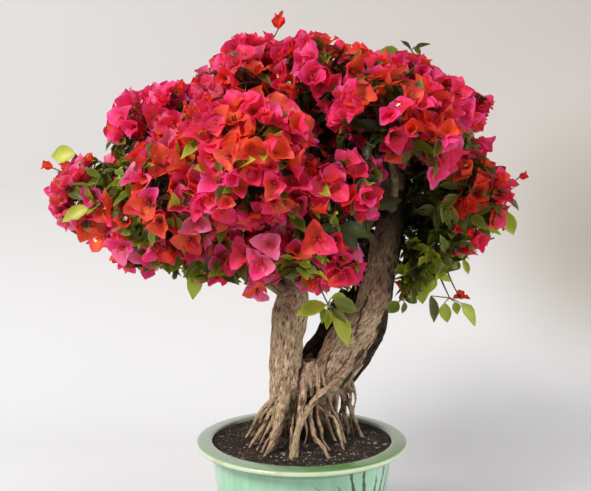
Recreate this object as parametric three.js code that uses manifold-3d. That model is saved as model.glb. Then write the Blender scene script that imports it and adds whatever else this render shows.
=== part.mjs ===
// A flowering bougainvillea grown as a bonsai, in a round glazed pot filled with soil.
// Millimetres, +Z up, the front of the tree towards -Y, origin under the middle of the pot's foot.
import * as THREE from "three";
import { mergeVertices } from "three/addons/utils/BufferGeometryUtils.js";
import Module from "manifold-3d";

const wasm = await Module();
wasm.setup();

const at = (x, y, z) => new THREE.Vector3(x, y, z);

// Driving dimensions
const clear = 0.3; // free space between two neighbouring solids
const pot = {
  height: 190,
  footRadius: 86,
  neckRadius: 116, // outside, just under the rim
  rimRadius: 140,
  mouthRadius: 118,
  rimDepth: 17,
  wall: 9,
  floor: 12,
  drainRadius: 6, // three drain holes, off the middle
  drainAway: 44,
};
const soilLevel = 181;
const crotchLevel = 290; // height where the fused foot of the tree parts into its stems
const flatness = 0.85; // height of each foliage mass beside its width
const bloomReach = 40; // from the middle of a bloom to the tip of a bract
const leafLength = 60;
const coreShare = 0.6; // how far a mass's dense inside reaches
const bloomRoom = 0.62; // how much of a bloom's reach its twig stops short of the mass's edge
const twigRadius = 1.8;

// The three stems: points up the middle of each, and the radius at each point
const stems = {
  left: {
    points: [at(-19, -11, 236), at(-20, -12, 275), at(-20, -12, 316), at(-16, -12, 363), at(-12, -12, 396)],
    radii: [24, 22, 21, 22, 14],
  },
  main: {
    points: [
      at(26, 0, 236), at(40, 1, 275), at(60, 3, 323), at(90, 6, 359), at(103, 8, 397),
      at(110, 8, 430), at(115, 8, 461), at(122, 8, 490), at(130, 8, 524),
    ],
    radii: [28, 27, 24, 21, 23, 18, 20, 17, 12],
  },
  back: {
    points: [at(2, 16, 262), at(12, 26, 298), at(41, 38, 329), at(68, 46, 362), at(90, 52, 402), at(100, 60, 450)],
    radii: [18, 17, 16, 16, 15, 13],
  },
};
// The dark rib of dead wood down the right side of the main stem
const rib = {
  points: [at(58, 16, 240), at(76, 20, 274), at(103, 20, 328), at(106, 16, 356), at(104, 10, 392)],
  radii: [15, 14, 12, 11, 9],
};
// The swellings where the stems are fused above the roots
const burls = [
  { centre: at(-14, -8, 255), radii: at(27, 26, 34) },
  { centre: at(16, 2, 250), radii: at(38, 27, 38) },
  { centre: at(46, 2, 254), radii: at(32, 27, 34) },
];

// Each root leaves the foot of the tree at one turn round its middle and reaches the soil at another.
// Turns are in degrees from +X, with -90 at the front; swing bends the root sideways on its way.
const rootMiddle = at(12, 2, 0);
const roots = [
  { turn: -150, footTurn: -147, top: 246, inner: 0.85, reach: 66, thick: 8.5, swing: 2 },
  { turn: -163, footTurn: -146, top: 240, inner: 0.95, reach: 80, thick: 5, swing: -2 },
  { turn: -172, footTurn: -164, top: 236, inner: 1, reach: 76, thick: 5, swing: 3 },
  { turn: 172, footTurn: 160, top: 234, inner: 1, reach: 88, thick: 5.5, swing: -3 },
  { turn: 150, footTurn: 144, top: 238, inner: 0.9, reach: 84, thick: 6, swing: 4 },
  { turn: -118, footTurn: -112, top: 258, inner: 0.9, reach: 60, thick: 5.5, swing: -2 },
  { turn: -60, footTurn: -108, top: 270, inner: 1.22, reach: 68, thick: 4.6, swing: -3 },
  { turn: -128, footTurn: -128, top: 226, inner: 0.8, reach: 52, thick: 3.4, swing: 1 },
  { turn: -88, footTurn: -70, top: 236, inner: 0.8, reach: 60, thick: 4.4, swing: -7 },
  { turn: -72, footTurn: -56, top: 238, inner: 0.8, reach: 46, thick: 3.6, swing: 6 },
  { turn: -50, footTurn: -40, top: 238, inner: 0.8, reach: 62, thick: 4.2, swing: 7 },
  { turn: -26, footTurn: -12, top: 240, inner: 0.95, reach: 56, thick: 3.8, swing: -4 },
  { turn: -8, footTurn: -2, top: 262, inner: 1.02, reach: 66, thick: 3.6, swing: 4 },
  { turn: 8, footTurn: 10, top: 262, inner: 1.06, reach: 76, thick: 3.8, swing: -3 },
  { turn: 26, footTurn: 34, top: 258, inner: 1, reach: 84, thick: 4.4, swing: 3 },
  { turn: 52, footTurn: 60, top: 246, inner: 1, reach: 78, thick: 6, swing: -4 },
  { turn: 84, footTurn: 88, top: 244, inner: 1, reach: 76, thick: 6.5, swing: 3 },
  { turn: 118, footTurn: 116, top: 242, inner: 1, reach: 80, thick: 6, swing: -3 },
];

// The foliage masses. from names the stem or the bough that carries the mass's own bough, and share says
// how far along it that bough leaves. blooms and leaves are how many are spread evenly round the mass.
const masses = [
  { name: "top", centre: at(-50, -6, 648), reach: 96, from: "main", share: 0.97, bough: 11, blooms: 11, leaves: 6 },
  { name: "top_right", centre: at(162, -4, 622), reach: 95, from: "main", share: 0.99, bough: 10, blooms: 11, leaves: 6 },
  { name: "front_right", centre: at(100, -116, 582), reach: 90, from: "main", share: 0.86, bough: 8, blooms: 11, leaves: 6 },
  { name: "front_mid", centre: at(44, -134, 500), reach: 84, from: "main", share: 0.72, bough: 6, blooms: 11, leaves: 6 },
  { name: "right_low", centre: at(176, -22, 424), reach: 74, from: "main", share: 0.6, bough: 6, blooms: 11, leaves: 6 },
  { name: "right", centre: at(212, -12, 514), reach: 78, from: "top_right", share: 0.3, bough: 5, blooms: 11, leaves: 6 },
  { name: "top_front", centre: at(46, -62, 648), reach: 88, from: "top", share: 0.4, bough: 6, blooms: 11, leaves: 6 },
  { name: "back_top", centre: at(2, 138, 612), reach: 104, from: "back", share: 0.97, bough: 9, blooms: 11, leaves: 6 },
  { name: "back_right", centre: at(156, 128, 550), reach: 94, from: "back", share: 0.9, bough: 8, blooms: 11, leaves: 6 },
  { name: "back_low", centre: at(16, 146, 458), reach: 84, from: "back", share: 0.8, bough: 6, blooms: 11, leaves: 6 },
  { name: "left_tip", centre: at(-262, -30, 512), reach: 70, from: "left", share: 0.95, bough: 9, blooms: 11, leaves: 6 },
  { name: "front_centre", centre: at(-58, -146, 546), reach: 94, from: "left", share: 0.99, bough: 8, blooms: 11, leaves: 6 },
  { name: "back_left", centre: at(-176, 122, 546), reach: 98, from: "left", share: 0.97, bough: 8, blooms: 11, leaves: 6 },
  { name: "left_shelf", centre: at(-172, -22, 592), reach: 84, from: "left_tip", share: 0.3, bough: 6, blooms: 11, leaves: 6 },
  { name: "left_mid", centre: at(-150, -106, 510), reach: 88, from: "left_tip", share: 0.22, bough: 6, blooms: 11, leaves: 6 },
  { name: "left_low", centre: at(-184, -50, 444), reach: 70, from: "left_tip", share: 0.36, bough: 5, blooms: 11, leaves: 6 },
  { name: "low_mid", centre: at(-92, -66, 440), reach: 66, from: "left", share: 0.88, bough: 5, blooms: 11, leaves: 6 },
  { name: "front_low", centre: at(8, -108, 428), reach: 68, from: "front_centre", share: 0.22, bough: 5, blooms: 11, leaves: 6 },
];
// Long shoots that stand out of their mass, each to its own tip
const shoots = [
  { mass: "top", tip: at(-32, -14, 748), ends: "bloom" },
  { mass: "top_right", tip: at(148, -6, 718), ends: "leaf" },
  { mass: "left_tip", tip: at(-338, -32, 552), ends: "bloom" },
  { mass: "left_tip", tip: at(-304, -36, 578), ends: "leaf" },
  { mass: "right", tip: at(282, -14, 542), ends: "bloom" },
  { mass: "right", tip: at(274, -20, 466), ends: "leaf" },
  { mass: "right_low", tip: at(242, -24, 452), ends: "bloom" },
  { mass: "right_low", tip: at(226, -28, 356), ends: "leaf" },
  { mass: "right_low", tip: at(176, -40, 356), ends: "leaf" },
  { mass: "left_low", tip: at(-140, -66, 388), ends: "leaf" },
  { mass: "front_low", tip: at(48, -106, 360), ends: "leaf" },
  { mass: "front_low", tip: at(2, -108, 368), ends: "leaf" },
];

// A stream of numbers from 0 to 1 that is the same each time for the same seed
function seeded(seed) {
  let state = (seed * 7919 + 12345) % 2147483647;
  return () => {
    state = (state * 16807) % 2147483647;
    return state / 2147483647;
  };
}

// A closed geometry as a solid for joining and cutting
function solidOf(geometry) {
  const bare = new THREE.BufferGeometry();
  bare.setAttribute("position", geometry.getAttribute("position").clone());
  if (geometry.index) bare.setIndex(geometry.index.clone());
  const merged = mergeVertices(bare, 1e-4);
  const corners = [];
  for (let i = 0; i < merged.index.count; i += 3) {
    const [a, b, c] = [0, 1, 2].map((k) => merged.index.getX(i + k));
    if (a !== b && b !== c && c !== a) corners.push(a, b, c);
  }
  const mesh = { numProp: 3, vertProperties: merged.attributes.position.array, triVerts: new Uint32Array(corners) };
  return new wasm.Manifold(new wasm.Mesh(mesh));
}

function geometryOf(solid) {
  const mesh = solid.getMesh();
  const geometry = new THREE.BufferGeometry();
  geometry.setAttribute("position", new THREE.BufferAttribute(mesh.vertProperties, 3));
  geometry.setIndex(new THREE.BufferAttribute(mesh.triVerts, 1));
  geometry.computeVertexNormals();
  return geometry;
}

const joined = (solids) => wasm.Manifold.union(solids);

// The largest of a solid's separate bodies, without the loose scraps that a cut leaves
function largest(solid) {
  const bodies = solid.decompose();
  return bodies.reduce((best, body) => (body.volume() > best.volume() ? body : best));
}

// The value at a share of the way along a list of evenly spaced values
function alongList(values, share) {
  const place = share * (values.length - 1);
  const i = Math.min(Math.floor(place), values.length - 2);
  return values[i] + (values[i + 1] - values[i]) * (place - i);
}

const smoothCurve = (points) => new THREE.CatmullRomCurve3(points, false, "catmullrom", 0.5);

// A round limb round the stretch of a curve between two shares of it: a cylinder bent along the curve
function limb(curve, radiusAt, sides, steps, start = 0, end = 1) {
  const geometry = new THREE.CylinderGeometry(1, 1, 1, sides, steps);
  const position = geometry.getAttribute("position");
  const chord = curve.getPointAt(end).sub(curve.getPointAt(start)).normalize();
  const reference = Math.abs(chord.z) < 0.8 ? at(0, 0, 1) : at(0, 1, 0);
  for (let i = 0; i < position.count; i++) {
    const share = start + (end - start) * (position.getY(i) + 0.5);
    const forward = curve.getTangentAt(share);
    const right = forward.clone().cross(reference).normalize();
    const over = right.clone().cross(forward);
    const radius = radiusAt(share);
    const point = curve.getPointAt(share);
    point.addScaledVector(right, position.getX(i) * radius);
    point.addScaledVector(over, position.getZ(i) * radius);
    position.setXYZ(i, point.x, point.y, point.z);
  }
  return solidOf(geometry);
}

const stemCurves = Object.fromEntries(Object.entries(stems).map(([name, stem]) => [name, smoothCurve(stem.points)]));

function stemSolid(name, sides, steps, grow = 0) {
  return limb(stemCurves[name], (share) => alongList(stems[name].radii, share) + grow, sides, steps);
}

function ribSolid(grow = 0) {
  return limb(smoothCurve(rib.points), (share) => alongList(rib.radii, share) + grow, 8, 6);
}

// A block that fills everything between two heights
function slab(low, high) {
  const width = 900;
  const block = new THREE.BoxGeometry(width, width, high - low);
  return solidOf(block.translate(0, 0, (low + high) / 2));
}

// A point on the oval round the foot of the tree, at a turn and a share of the oval's size
function roundFoot(turn, size, height) {
  const angle = THREE.MathUtils.degToRad(turn);
  return at(rootMiddle.x + Math.cos(angle) * size.x, rootMiddle.y + Math.sin(angle) * size.y, height);
}

function rootSolid(root) {
  const waist = { x: 52 * root.inner, y: 27 * root.inner };
  const spread = { x: root.reach, y: root.reach * 0.86 };
  const points = [0, 0.33, 0.66, 1].map((share) => {
    const turn = root.turn + (root.footTurn - root.turn) * share + root.swing * Math.sin(share * Math.PI * 2);
    const out = share ** 1.25;
    const size = { x: waist.x + (spread.x - waist.x) * out, y: waist.y + (spread.y - waist.y) * out };
    return roundFoot(turn, size, root.top + (soilLevel - 4 - root.top) * share);
  });
  points.unshift(roundFoot(root.turn, { x: waist.x * 0.6, y: waist.y * 0.6 }, root.top + 8));
  return limb(smoothCurve(points), (share) => root.thick * (1.6 - 0.9 * share), 5, 4);
}

function burlSolid(burl) {
  const ball = new THREE.IcosahedronGeometry(1, 1);
  ball.scale(burl.radii.x, burl.radii.y, burl.radii.z);
  return solidOf(ball.translate(burl.centre.x, burl.centre.y, burl.centre.z));
}

// The fused foot of the tree: burls, the lowest stretch of each stem, and the roots down to the soil
function rootFlare() {
  const lowStems = ["left", "main", "back"].map((name) => stemSolid(name, 10, 14));
  const whole = joined([...burls.map(burlSolid), ...lowStems, ribSolid(), ...roots.map(rootSolid)]);
  return largest(whole.intersect(slab(soilLevel + clear, crotchLevel)));
}

const aboveCrotch = slab(crotchLevel + clear, 900);

// The space of a mass: the part of the crown that is nearer to it than to its neighbours, by its size
const squashed = (vector) => at(vector.x, vector.y, vector.z / flatness);

function roomIn(mass, point) {
  const own = squashed(point.clone().sub(mass.centre)).lengthSq() - mass.reach ** 2;
  let room = Infinity;
  for (const other of masses) {
    if (other === mass) continue;
    const theirs = squashed(point.clone().sub(other.centre)).lengthSq() - other.reach ** 2;
    const between = squashed(other.centre.clone().sub(mass.centre)).length();
    room = Math.min(room, (theirs - own) / (2 * between));
  }
  return room; // distance to the nearest neighbour's space, below 0 inside it
}

function inside(mass, points, margin, stretch) {
  return points.every((point) => {
    const out = squashed(point.clone().sub(mass.centre)).length() / mass.reach;
    return out < stretch && roomIn(mass, point) > margin;
  });
}

// Each bough's curve runs from its carrier through its mass and out to the mass's far side. The bough
// itself ends where the curve enters the mass's space, and the mass's own stem takes over there.
const entryMargin = 3;

function routeOf(mass, carrier, carrierShare, carrierRadius) {
  const random = seeded(mass.reach + mass.centre.x);
  const start = carrier.getPointAt(carrierShare);
  const inward = mass.centre.clone().sub(start).normalize();
  const near = mass.centre.clone().addScaledVector(inward, -0.35 * mass.reach);
  const far = mass.centre.clone().addScaledVector(inward, 0.4 * mass.reach).add(at(0, 0, 0.12 * mass.reach));
  const bend = start.clone().lerp(near, 0.5);
  const length = start.distanceTo(near);
  bend.add(at((random() - 0.5) * 0.16 * length, (random() - 0.5) * 0.16 * length, 0.1 * length));
  const curve = smoothCurve([start, bend, near, far]);
  const whole = curve.getLength();
  let entry = (carrierRadius + 10) / whole; // at least this much of it stands clear of its carrier
  while (entry < 0.8 && !inside(mass, [curve.getPointAt(entry)], entryMargin, 0.9)) entry += 0.005;
  return { mass, curve, entry, whole };
}

const routes = {};
for (const mass of masses) {
  const carrier = routes[mass.from];
  // A bough that leaves another bough leaves it before that one ends.
  const share = carrier ? Math.min(mass.share, carrier.entry * 0.9) : mass.share;
  const radius = carrier ? carrier.mass.bough : alongList(stems[mass.from].radii, share);
  routes[mass.name] = routeOf(mass, carrier ? carrier.curve : stemCurves[mass.from], share, radius);
}

const boughRadius = (mass, entry) => (share) => mass.bough * (1 - 0.45 * (share / entry));

function boughSolid(route, grow = 0) {
  const radiusAt = boughRadius(route.mass, route.entry);
  const steps = Math.max(2, Math.round((route.whole * route.entry) / 32));
  return limb(route.curve, (share) => radiusAt(share) + grow, 6, steps, 0, route.entry);
}

// A three-bract bloom: a cone opened out into three pointed lobes, hollow in front. The twig's end is sunk
// into its back a little off the middle.
const notch = { out: 0.54, up: 0.26 };
const sunk = { aside: 0.2, up: 0.11 };

function bloomSolid(place, facing, reach, turn) {
  const geometry = new THREE.ConeGeometry(1, 1, 6, 1, false, turn);
  const position = geometry.getAttribute("position");
  for (let i = 0; i < position.count; i++) {
    const [x, y, z] = [position.getX(i), position.getY(i), position.getZ(i)];
    const isMiddle = Math.hypot(x, z) < 0.01;
    const isNotch = Math.round((Math.atan2(x, z) - turn) / (Math.PI / 3) + 12) % 2;
    if (isMiddle) position.setXYZ(i, 0, y > 0 ? 0.12 : -0.16, 0);
    else if (isNotch) position.setXYZ(i, x * notch.out, notch.up, z * notch.out);
    else position.setY(i, 0.4);
  }
  geometry.translate(-sunk.aside * Math.sin(turn + Math.PI / 6), -sunk.up, -sunk.aside * Math.cos(turn + Math.PI / 6));
  geometry.scale(reach, reach, reach);
  // The cone's axis is turned to the way that the bloom faces
  geometry.applyQuaternion(new THREE.Quaternion().setFromUnitVectors(at(0, 1, 0), facing));
  return geometry.translate(place.x, place.y, place.z);
}

// A leaf of eight faces, folded a little along its middle, its root sunk in what bears it
const rootDepth = 4;

function leafSolid(place, along, face, length) {
  const geometry = new THREE.OctahedronGeometry(1);
  const side = face.clone().cross(along).normalize();
  const over = along.clone().cross(side).normalize();
  const position = geometry.getAttribute("position");
  const thick = length * 0.03;
  for (let i = 0; i < position.count; i++) {
    const [x, y, z] = [position.getX(i), position.getY(i), position.getZ(i)];
    const point = place.clone();
    if (x < -0.5) point.addScaledVector(along, -rootDepth);
    else if (x > 0.5) point.addScaledVector(along, length).addScaledVector(over, -0.08 * length);
    else point.addScaledVector(along, 0.42 * length);
    point.addScaledVector(side, y * length * 0.29);
    point.addScaledVector(over, Math.abs(y) * length * 0.07 + z * thick);
    position.setXYZ(i, point.x, point.y, point.z);
  }
  return geometry;
}

function cornersOf(geometry) {
  const position = geometry.getAttribute("position");
  return Array.from({ length: position.count }, (_, i) => at(...[0, 1, 2].map((k) => position.getComponent(i, k))));
}

const goldenAngle = Math.PI * (3 - Math.sqrt(5));

// One of a number of directions that are spread evenly all round, and squashed like the masses
function evenDirection(k, count, offset) {
  const height = 1 - (2 * k + 1) / count;
  const turn = k * goldenAngle + offset;
  const flat = Math.sqrt(1 - height * height);
  return at(Math.cos(turn) * flat, Math.sin(turn) * flat, height * flatness);
}

// The furthest point from a mass's middle that keeps some room to the spaces of its neighbours
function drawnIn(mass, direction, most, room) {
  const pointAt = (out) => mass.centre.clone().addScaledVector(direction, out);
  let out = most;
  while (out > 4 && roomIn(mass, pointAt(out)) < room) out -= 1.5;
  return pointAt(out);
}

// The dense inside of a mass: a rounded lump that its blooms and leaves stand out of
function coreSolid(mass) {
  const geometry = mergeVertices(new THREE.IcosahedronGeometry(1, 1).deleteAttribute("uv").deleteAttribute("normal"));
  const position = geometry.getAttribute("position");
  const random = seeded(mass.reach + 7);
  for (let i = 0; i < position.count; i++) {
    const direction = at(position.getX(i), position.getY(i), position.getZ(i) * flatness);
    const point = drawnIn(mass, direction, mass.reach * coreShare * (0.8 + 0.4 * random()), 4);
    position.setXYZ(i, point.x, point.y, point.z);
  }
  return solidOf(geometry);
}

function massSolid(route, limbs) {
  const { mass, curve, entry, whole } = route;
  const stem = limb(curve, () => mass.bough * 0.55, 4, 2, entry + clear / whole, 1);
  const core = coreSolid(mass);
  const pieces = [stem, core];
  let taken = limbs; // everything that a new twig, leaf or bloom must keep clear of
  // The largest of three sizes of a bloom or a leaf that stays in the mass's space and touches nothing
  const fitted = (shape, size, stretch) => {
    for (const share of [1, 0.82, 0.66]) {
      const geometry = shape(size * share);
      const solid = solidOf(geometry);
      if (inside(mass, cornersOf(geometry), 0.6, stretch) && solid.intersect(taken).isEmpty()) return solid;
    }
    return null;
  };
  const addTwig = (tip, random, ends, stretch) => {
    const path = new THREE.LineCurve3(mass.centre, tip);
    const twig = limb(path, (share) => twigRadius * (1.3 - 0.3 * share), 3, 1);
    if (!twig.intersect(taken).isEmpty()) return;
    const forward = path.getTangent(1);
    const lean = at(random() - 0.5, random() - 0.5, random() - 0.3);
    const facing = forward.clone().addScaledVector(lean, 0.8).normalize();
    const turn = random() * Math.PI * 2;
    const droop = forward.clone().add(at(0, 0, -0.3)).normalize();
    const end =
      ends === "bloom"
        ? fitted((size) => bloomSolid(tip, facing, size, turn), bloomReach * (0.85 + 0.25 * random()), stretch)
        : fitted((size) => leafSolid(tip, droop, at(0, -1, 0.4), size), leafLength, stretch);
    if (!end) return;
    taken = taken.add(end);
    pieces.push(twig, end);
  };

  shoots.forEach((shoot, i) => {
    if (shoot.mass === mass.name) addTwig(shoot.tip, seeded(500 + i), shoot.ends, 3);
  });
  for (let k = 0; k < mass.blooms; k++) {
    const random = seeded(mass.reach * 31 + k);
    const direction = evenDirection(k, mass.blooms, mass.reach);
    const most = mass.reach * (0.9 + 0.1 * random()) - bloomReach * bloomRoom;
    addTwig(drawnIn(mass, direction, most, bloomReach * 0.5), random, "bloom", 1.1);
  }
  // Leaves stand straight out of the core, between the blooms
  for (let k = 0; k < mass.leaves; k++) {
    const random = seeded(mass.reach * 57 + k);
    const direction = evenDirection(k, mass.leaves, mass.reach + 2);
    const base = drawnIn(mass, direction, mass.reach * coreShare * 0.8, 8);
    const along = direction.clone().addScaledVector(at(random() - 0.5, random() - 0.5, random() - 0.8), 0.8);
    const face = at(random() - 0.5, random() - 0.5, 1);
    const leaf = fitted((size) => leafSolid(base, along.normalize(), face, size), leafLength, 1.1);
    if (leaf) {
      taken = taken.add(leaf);
      pieces.push(leaf);
    }
  }
  return largest(joined(pieces).subtract(limbs));
}

// The pot: a closed section turned about its axis, with a wide rim, a flat foot and drain holes
const wallRadius = (height) => {
  // outside radius of the body, which swells gently from the foot to the neck
  const share = height / (pot.height - pot.rimDepth);
  const swell = 0.45 * share + 0.55 * Math.sin((share * Math.PI) / 2);
  return pot.footRadius + (pot.neckRadius - pot.footRadius) * swell;
};

function turned(profile) {
  const points = profile.map(([radius, height]) => new THREE.Vector2(radius, height));
  return solidOf(new THREE.LatheGeometry(points, 32).rotateX(Math.PI / 2));
}

const bodyHeights = [14, 50, 92, 134, pot.height - pot.rimDepth];
const innerWall = bodyHeights.map((height) => [wallRadius(height) - pot.wall, height]);

function potSolid() {
  const { height, footRadius, rimRadius, mouthRadius, rimDepth, floor, drainRadius, drainAway } = pot;
  const profile = [
    [0, 0],
    [footRadius - 4, 0],
    [footRadius - 1, 2],
    [footRadius - 1, 7],
    ...bodyHeights.map((level) => [wallRadius(level), level]),
    [rimRadius - 7, height - rimDepth + 3],
    [rimRadius - 1, height - rimDepth + 6],
    [rimRadius, height - 8],
    [rimRadius - 3, height - 1],
    [rimRadius - 6, height],
    [mouthRadius + 2, height - 1],
    [mouthRadius, height - 3],
    ...innerWall.slice().reverse(),
    [0, floor],
  ];
  const drains = [0, 1, 2].map((i) => {
    const angle = (i * 2 * Math.PI) / 3 + Math.PI / 6;
    const drain = new THREE.CylinderGeometry(drainRadius, drainRadius, 4 * floor, 12).rotateX(Math.PI / 2);
    return solidOf(drain.translate(Math.cos(angle) * drainAway, Math.sin(angle) * drainAway, 0));
  });
  return turned(profile).subtract(joined(drains));
}

// The soil fills the pot to just under the rim, clear of the wall and of the floor
function soilSolid() {
  const neck = innerWall[innerWall.length - 1];
  const brim = [pot.mouthRadius, pot.height - 3];
  const share = (soilLevel - neck[1]) / (brim[1] - neck[1]);
  const topRadius = neck[0] + (brim[0] - neck[0]) * share - clear * 1.6;
  const profile = [
    [0, pot.floor + clear],
    ...innerWall.map(([radius, height], i) => [radius - clear * 1.3, i ? height : height + clear]),
    [topRadius, soilLevel],
    [0, soilLevel],
  ];
  return turned(profile);
}

const finishes = {
  glaze: { color: 0x9fcdb0, roughness: 0.18, metalness: 0 },
  soil: { color: 0x3a2c26, roughness: 0.95, metalness: 0 },
  bark: { color: 0x8c7560, roughness: 0.9, metalness: 0 },
  darkBark: { color: 0x4a3d33, roughness: 0.9, metalness: 0 },
  bough: { color: 0x6b5646, roughness: 0.85, metalness: 0 },
  blossom: { color: 0xd8204f, roughness: 0.6, metalness: 0 },
};

const bonsai = new THREE.Group();

function add(name, solid, finish) {
  const mesh = new THREE.Mesh(geometryOf(solid), new THREE.MeshStandardMaterial(finishes[finish]));
  mesh.name = name;
  bonsai.add(mesh);
  return solid;
}

add("pot", potSolid(), "glaze");
add("soil", soilSolid(), "soil");
add("root_flare", rootFlare(), "bark");
add("left_trunk", largest(stemSolid("left", 10, 10).intersect(aboveCrotch)), "bark");
const mainStem = joined([stemSolid("main", 10, 14), ribSolid()]);
add("main_trunk", largest(mainStem.intersect(aboveCrotch)), "bark");
const mainGrown = joined([stemSolid("main", 10, 14, clear), ribSolid(clear)]);
add("back_trunk", largest(stemSolid("back", 10, 10).intersect(aboveCrotch).subtract(mainGrown)), "darkBark");

// Each bough is cut clear of the stems and of the boughs before it
const grownLimbs = [stemSolid("left", 10, 10, clear), mainGrown, stemSolid("back", 10, 10, clear)];
for (const mass of masses) {
  const route = routes[mass.name];
  add(`bough_${mass.name}`, largest(boughSolid(route).subtract(joined(grownLimbs))), "bough");
  grownLimbs.push(boughSolid(route, clear));
}

const allLimbs = joined([...grownLimbs, rootFlare()]);
for (const mass of masses) add(`foliage_${mass.name}`, massSolid(routes[mass.name], allLimbs), "blossom");

export default bonsai;
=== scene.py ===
import math

import bmesh
import bpy
import numpy as np
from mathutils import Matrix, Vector
from mathutils.bvhtree import BVHTree


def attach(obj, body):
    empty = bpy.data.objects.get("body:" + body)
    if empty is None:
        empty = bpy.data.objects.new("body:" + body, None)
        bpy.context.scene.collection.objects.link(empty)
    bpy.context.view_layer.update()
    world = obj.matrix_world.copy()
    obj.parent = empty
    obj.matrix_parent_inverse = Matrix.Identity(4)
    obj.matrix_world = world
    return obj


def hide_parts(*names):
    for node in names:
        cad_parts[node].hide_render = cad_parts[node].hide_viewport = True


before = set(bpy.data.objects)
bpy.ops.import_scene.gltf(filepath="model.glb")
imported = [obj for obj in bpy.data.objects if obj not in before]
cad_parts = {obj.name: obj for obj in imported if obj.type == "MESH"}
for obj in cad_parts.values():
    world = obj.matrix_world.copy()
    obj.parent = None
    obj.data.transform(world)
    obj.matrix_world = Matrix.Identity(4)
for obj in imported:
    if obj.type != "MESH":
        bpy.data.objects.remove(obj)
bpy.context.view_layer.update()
mm = 0.001


def tidySelection():
    if bpy.context.object and bpy.context.object.mode != "OBJECT":
        bpy.ops.object.mode_set(mode="OBJECT")
    bpy.ops.object.select_all(action="DESELECT")


def choose(*objects):
    tidySelection()
    for o in objects:
        o.select_set(True)
    bpy.context.view_layer.objects.active = objects[-1]


def link(made):
    bpy.context.scene.collection.objects.link(made)
    return made


def linear(red, green, blue):
    # a colour as seen on a screen, 0 to 255, turned to Blender's linear values
    def one(c):
        c = c / 255
        return c / 12.92 if c < 0.04045 else ((c + 0.055) / 1.055) ** 2.4

    return (one(red), one(green), one(blue), 1.0)


def grey(value):
    return (value, value, value, 1)


class Web:
    # the nodes of one material or node group, added and joined by short calls
    def __init__(self, tree):
        self.nodes, self.links = tree.nodes, tree.links

    def put(self, socket, value):
        if isinstance(value, bpy.types.NodeSocket):
            self.links.new(value, socket)
        elif value is not None:
            socket.default_value = value

    def fill(self, node, values):
        # plain values, or outputs to link, for the node's sockets by name or number
        for socket, value in values.items():
            self.put(node.inputs[socket], value)
        return node.outputs

    def add(self, kind, **settings):
        node = self.nodes.new("ShaderNode" + kind)
        for setting, value in settings.items():
            setattr(node, setting, value)
        return node

    def math(self, kind, *values):
        return self.fill(self.add("Math", operation=kind), dict(enumerate(values)))[0]

    def plus(self, first, second):
        return self.math("ADD", first, second)

    def minus(self, first, second):
        return self.math("SUBTRACT", first, second)

    def times(self, first, second):
        return self.math("MULTIPLY", first, second)

    def mix(self, factor, first, second):
        node = self.add("Mix", data_type="RGBA")
        return self.fill(node, {"Factor": factor, "A": first, "B": second})["Result"]

    def span(self, value, low, high, toLow=0.0, toHigh=1.0, kind="LINEAR"):
        # a value between low and high, moved to lie between toLow and toHigh
        node = self.add("MapRange", interpolation_type=kind)
        ends = {"From Min": low, "From Max": high, "To Min": toLow, "To Max": toHigh}
        return self.fill(node, {"Value": value, **ends})["Result"]

    def ramp(self, factor, *stops):
        node = self.add("ValToRGB")
        elements = node.color_ramp.elements
        while len(elements) < len(stops):
            elements.new(0.5)
        for element, (position, colour) in zip(elements, stops):
            element.position = position
            element.color = colour
        return self.fill(node, {"Fac": factor})["Color"]

    def noise(self, place, scale, detail=4, roughness=0.55):
        values = {"Vector": place, "Scale": scale, "Detail": detail, "Roughness": roughness}
        return self.fill(self.add("TexNoise"), values)["Fac"]

    def vector(self, kind, values):
        return self.fill(self.add("VectorMath", operation=kind), values)

    def split(self, vector):
        return tuple(self.fill(self.add("SeparateXYZ"), {"Vector": vector}))

    def join(self, x, y, z=0.0):
        return self.fill(self.add("CombineXYZ"), {"X": x, "Y": y, "Z": z})["Vector"]

    def bump(self, height, distance, strength=None):
        values = {"Height": height, "Distance": distance, "Strength": strength}
        return self.fill(self.add("Bump"), values)["Normal"]

    def objectPlace(self):
        return self.add("TexCoord").outputs["Object"]

    def attribute(self, name):
        return self.add("Attribute", attribute_name=name).outputs

    def blend(self, factor, first, second):
        # the surface is a mix of two shaders
        both = self.fill(self.add("MixShader"), {"Fac": factor, 1: first, 2: second})
        self.put(self.nodes["Material Output"].inputs["Surface"], both["Shader"])


def newMaterial(name):
    material = bpy.data.materials.new(name)
    material.use_nodes = True
    web = Web(material.node_tree)
    return material, web, web.nodes["Principled BSDF"]


def makeGroup(name, inputs, outputs):
    group = bpy.data.node_groups.new(name, "ShaderNodeTree")
    for socket, kind, value in inputs:
        made = group.interface.new_socket(socket, in_out="INPUT", socket_type="NodeSocket" + kind)
        if value is not None:
            made.default_value = value
    for socket, kind in outputs:
        group.interface.new_socket(socket, in_out="OUTPUT", socket_type="NodeSocket" + kind)
    given = group.nodes.new("NodeGroupInput").outputs
    return group, Web(group), given, group.nodes.new("NodeGroupOutput")


print("stage: camera, light and backdrop")

cameraView = {"place": (-0.0084, -0.950, 0.4745), "pitch": 88.5, "lens": 43.25}
studio = {"reach": 7.0, "wallBehind": 1.1, "wallHeight": 3.0, "curve": 0.5, "curveSteps": 8,
          "roomLight": 0.33}
# the backdrop's paint holds painted light and shade: lighter at the left and low down, darker at the right, in
# one patch and on the floor in front
paint = {
    "left": (0.6, 0.585, 0.58, 1), "right": (0.575, 0.53, 0.49, 1), "low": (0.82, 0.82, 0.83, 1),
    "paintedWallShade": (0.36, 0.33, 0.275, 1), "paintedWallShadePlace": (0.9, 1.1, 0.42), "front": (0.42, 0.42, 0.425, 1),
}
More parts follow.
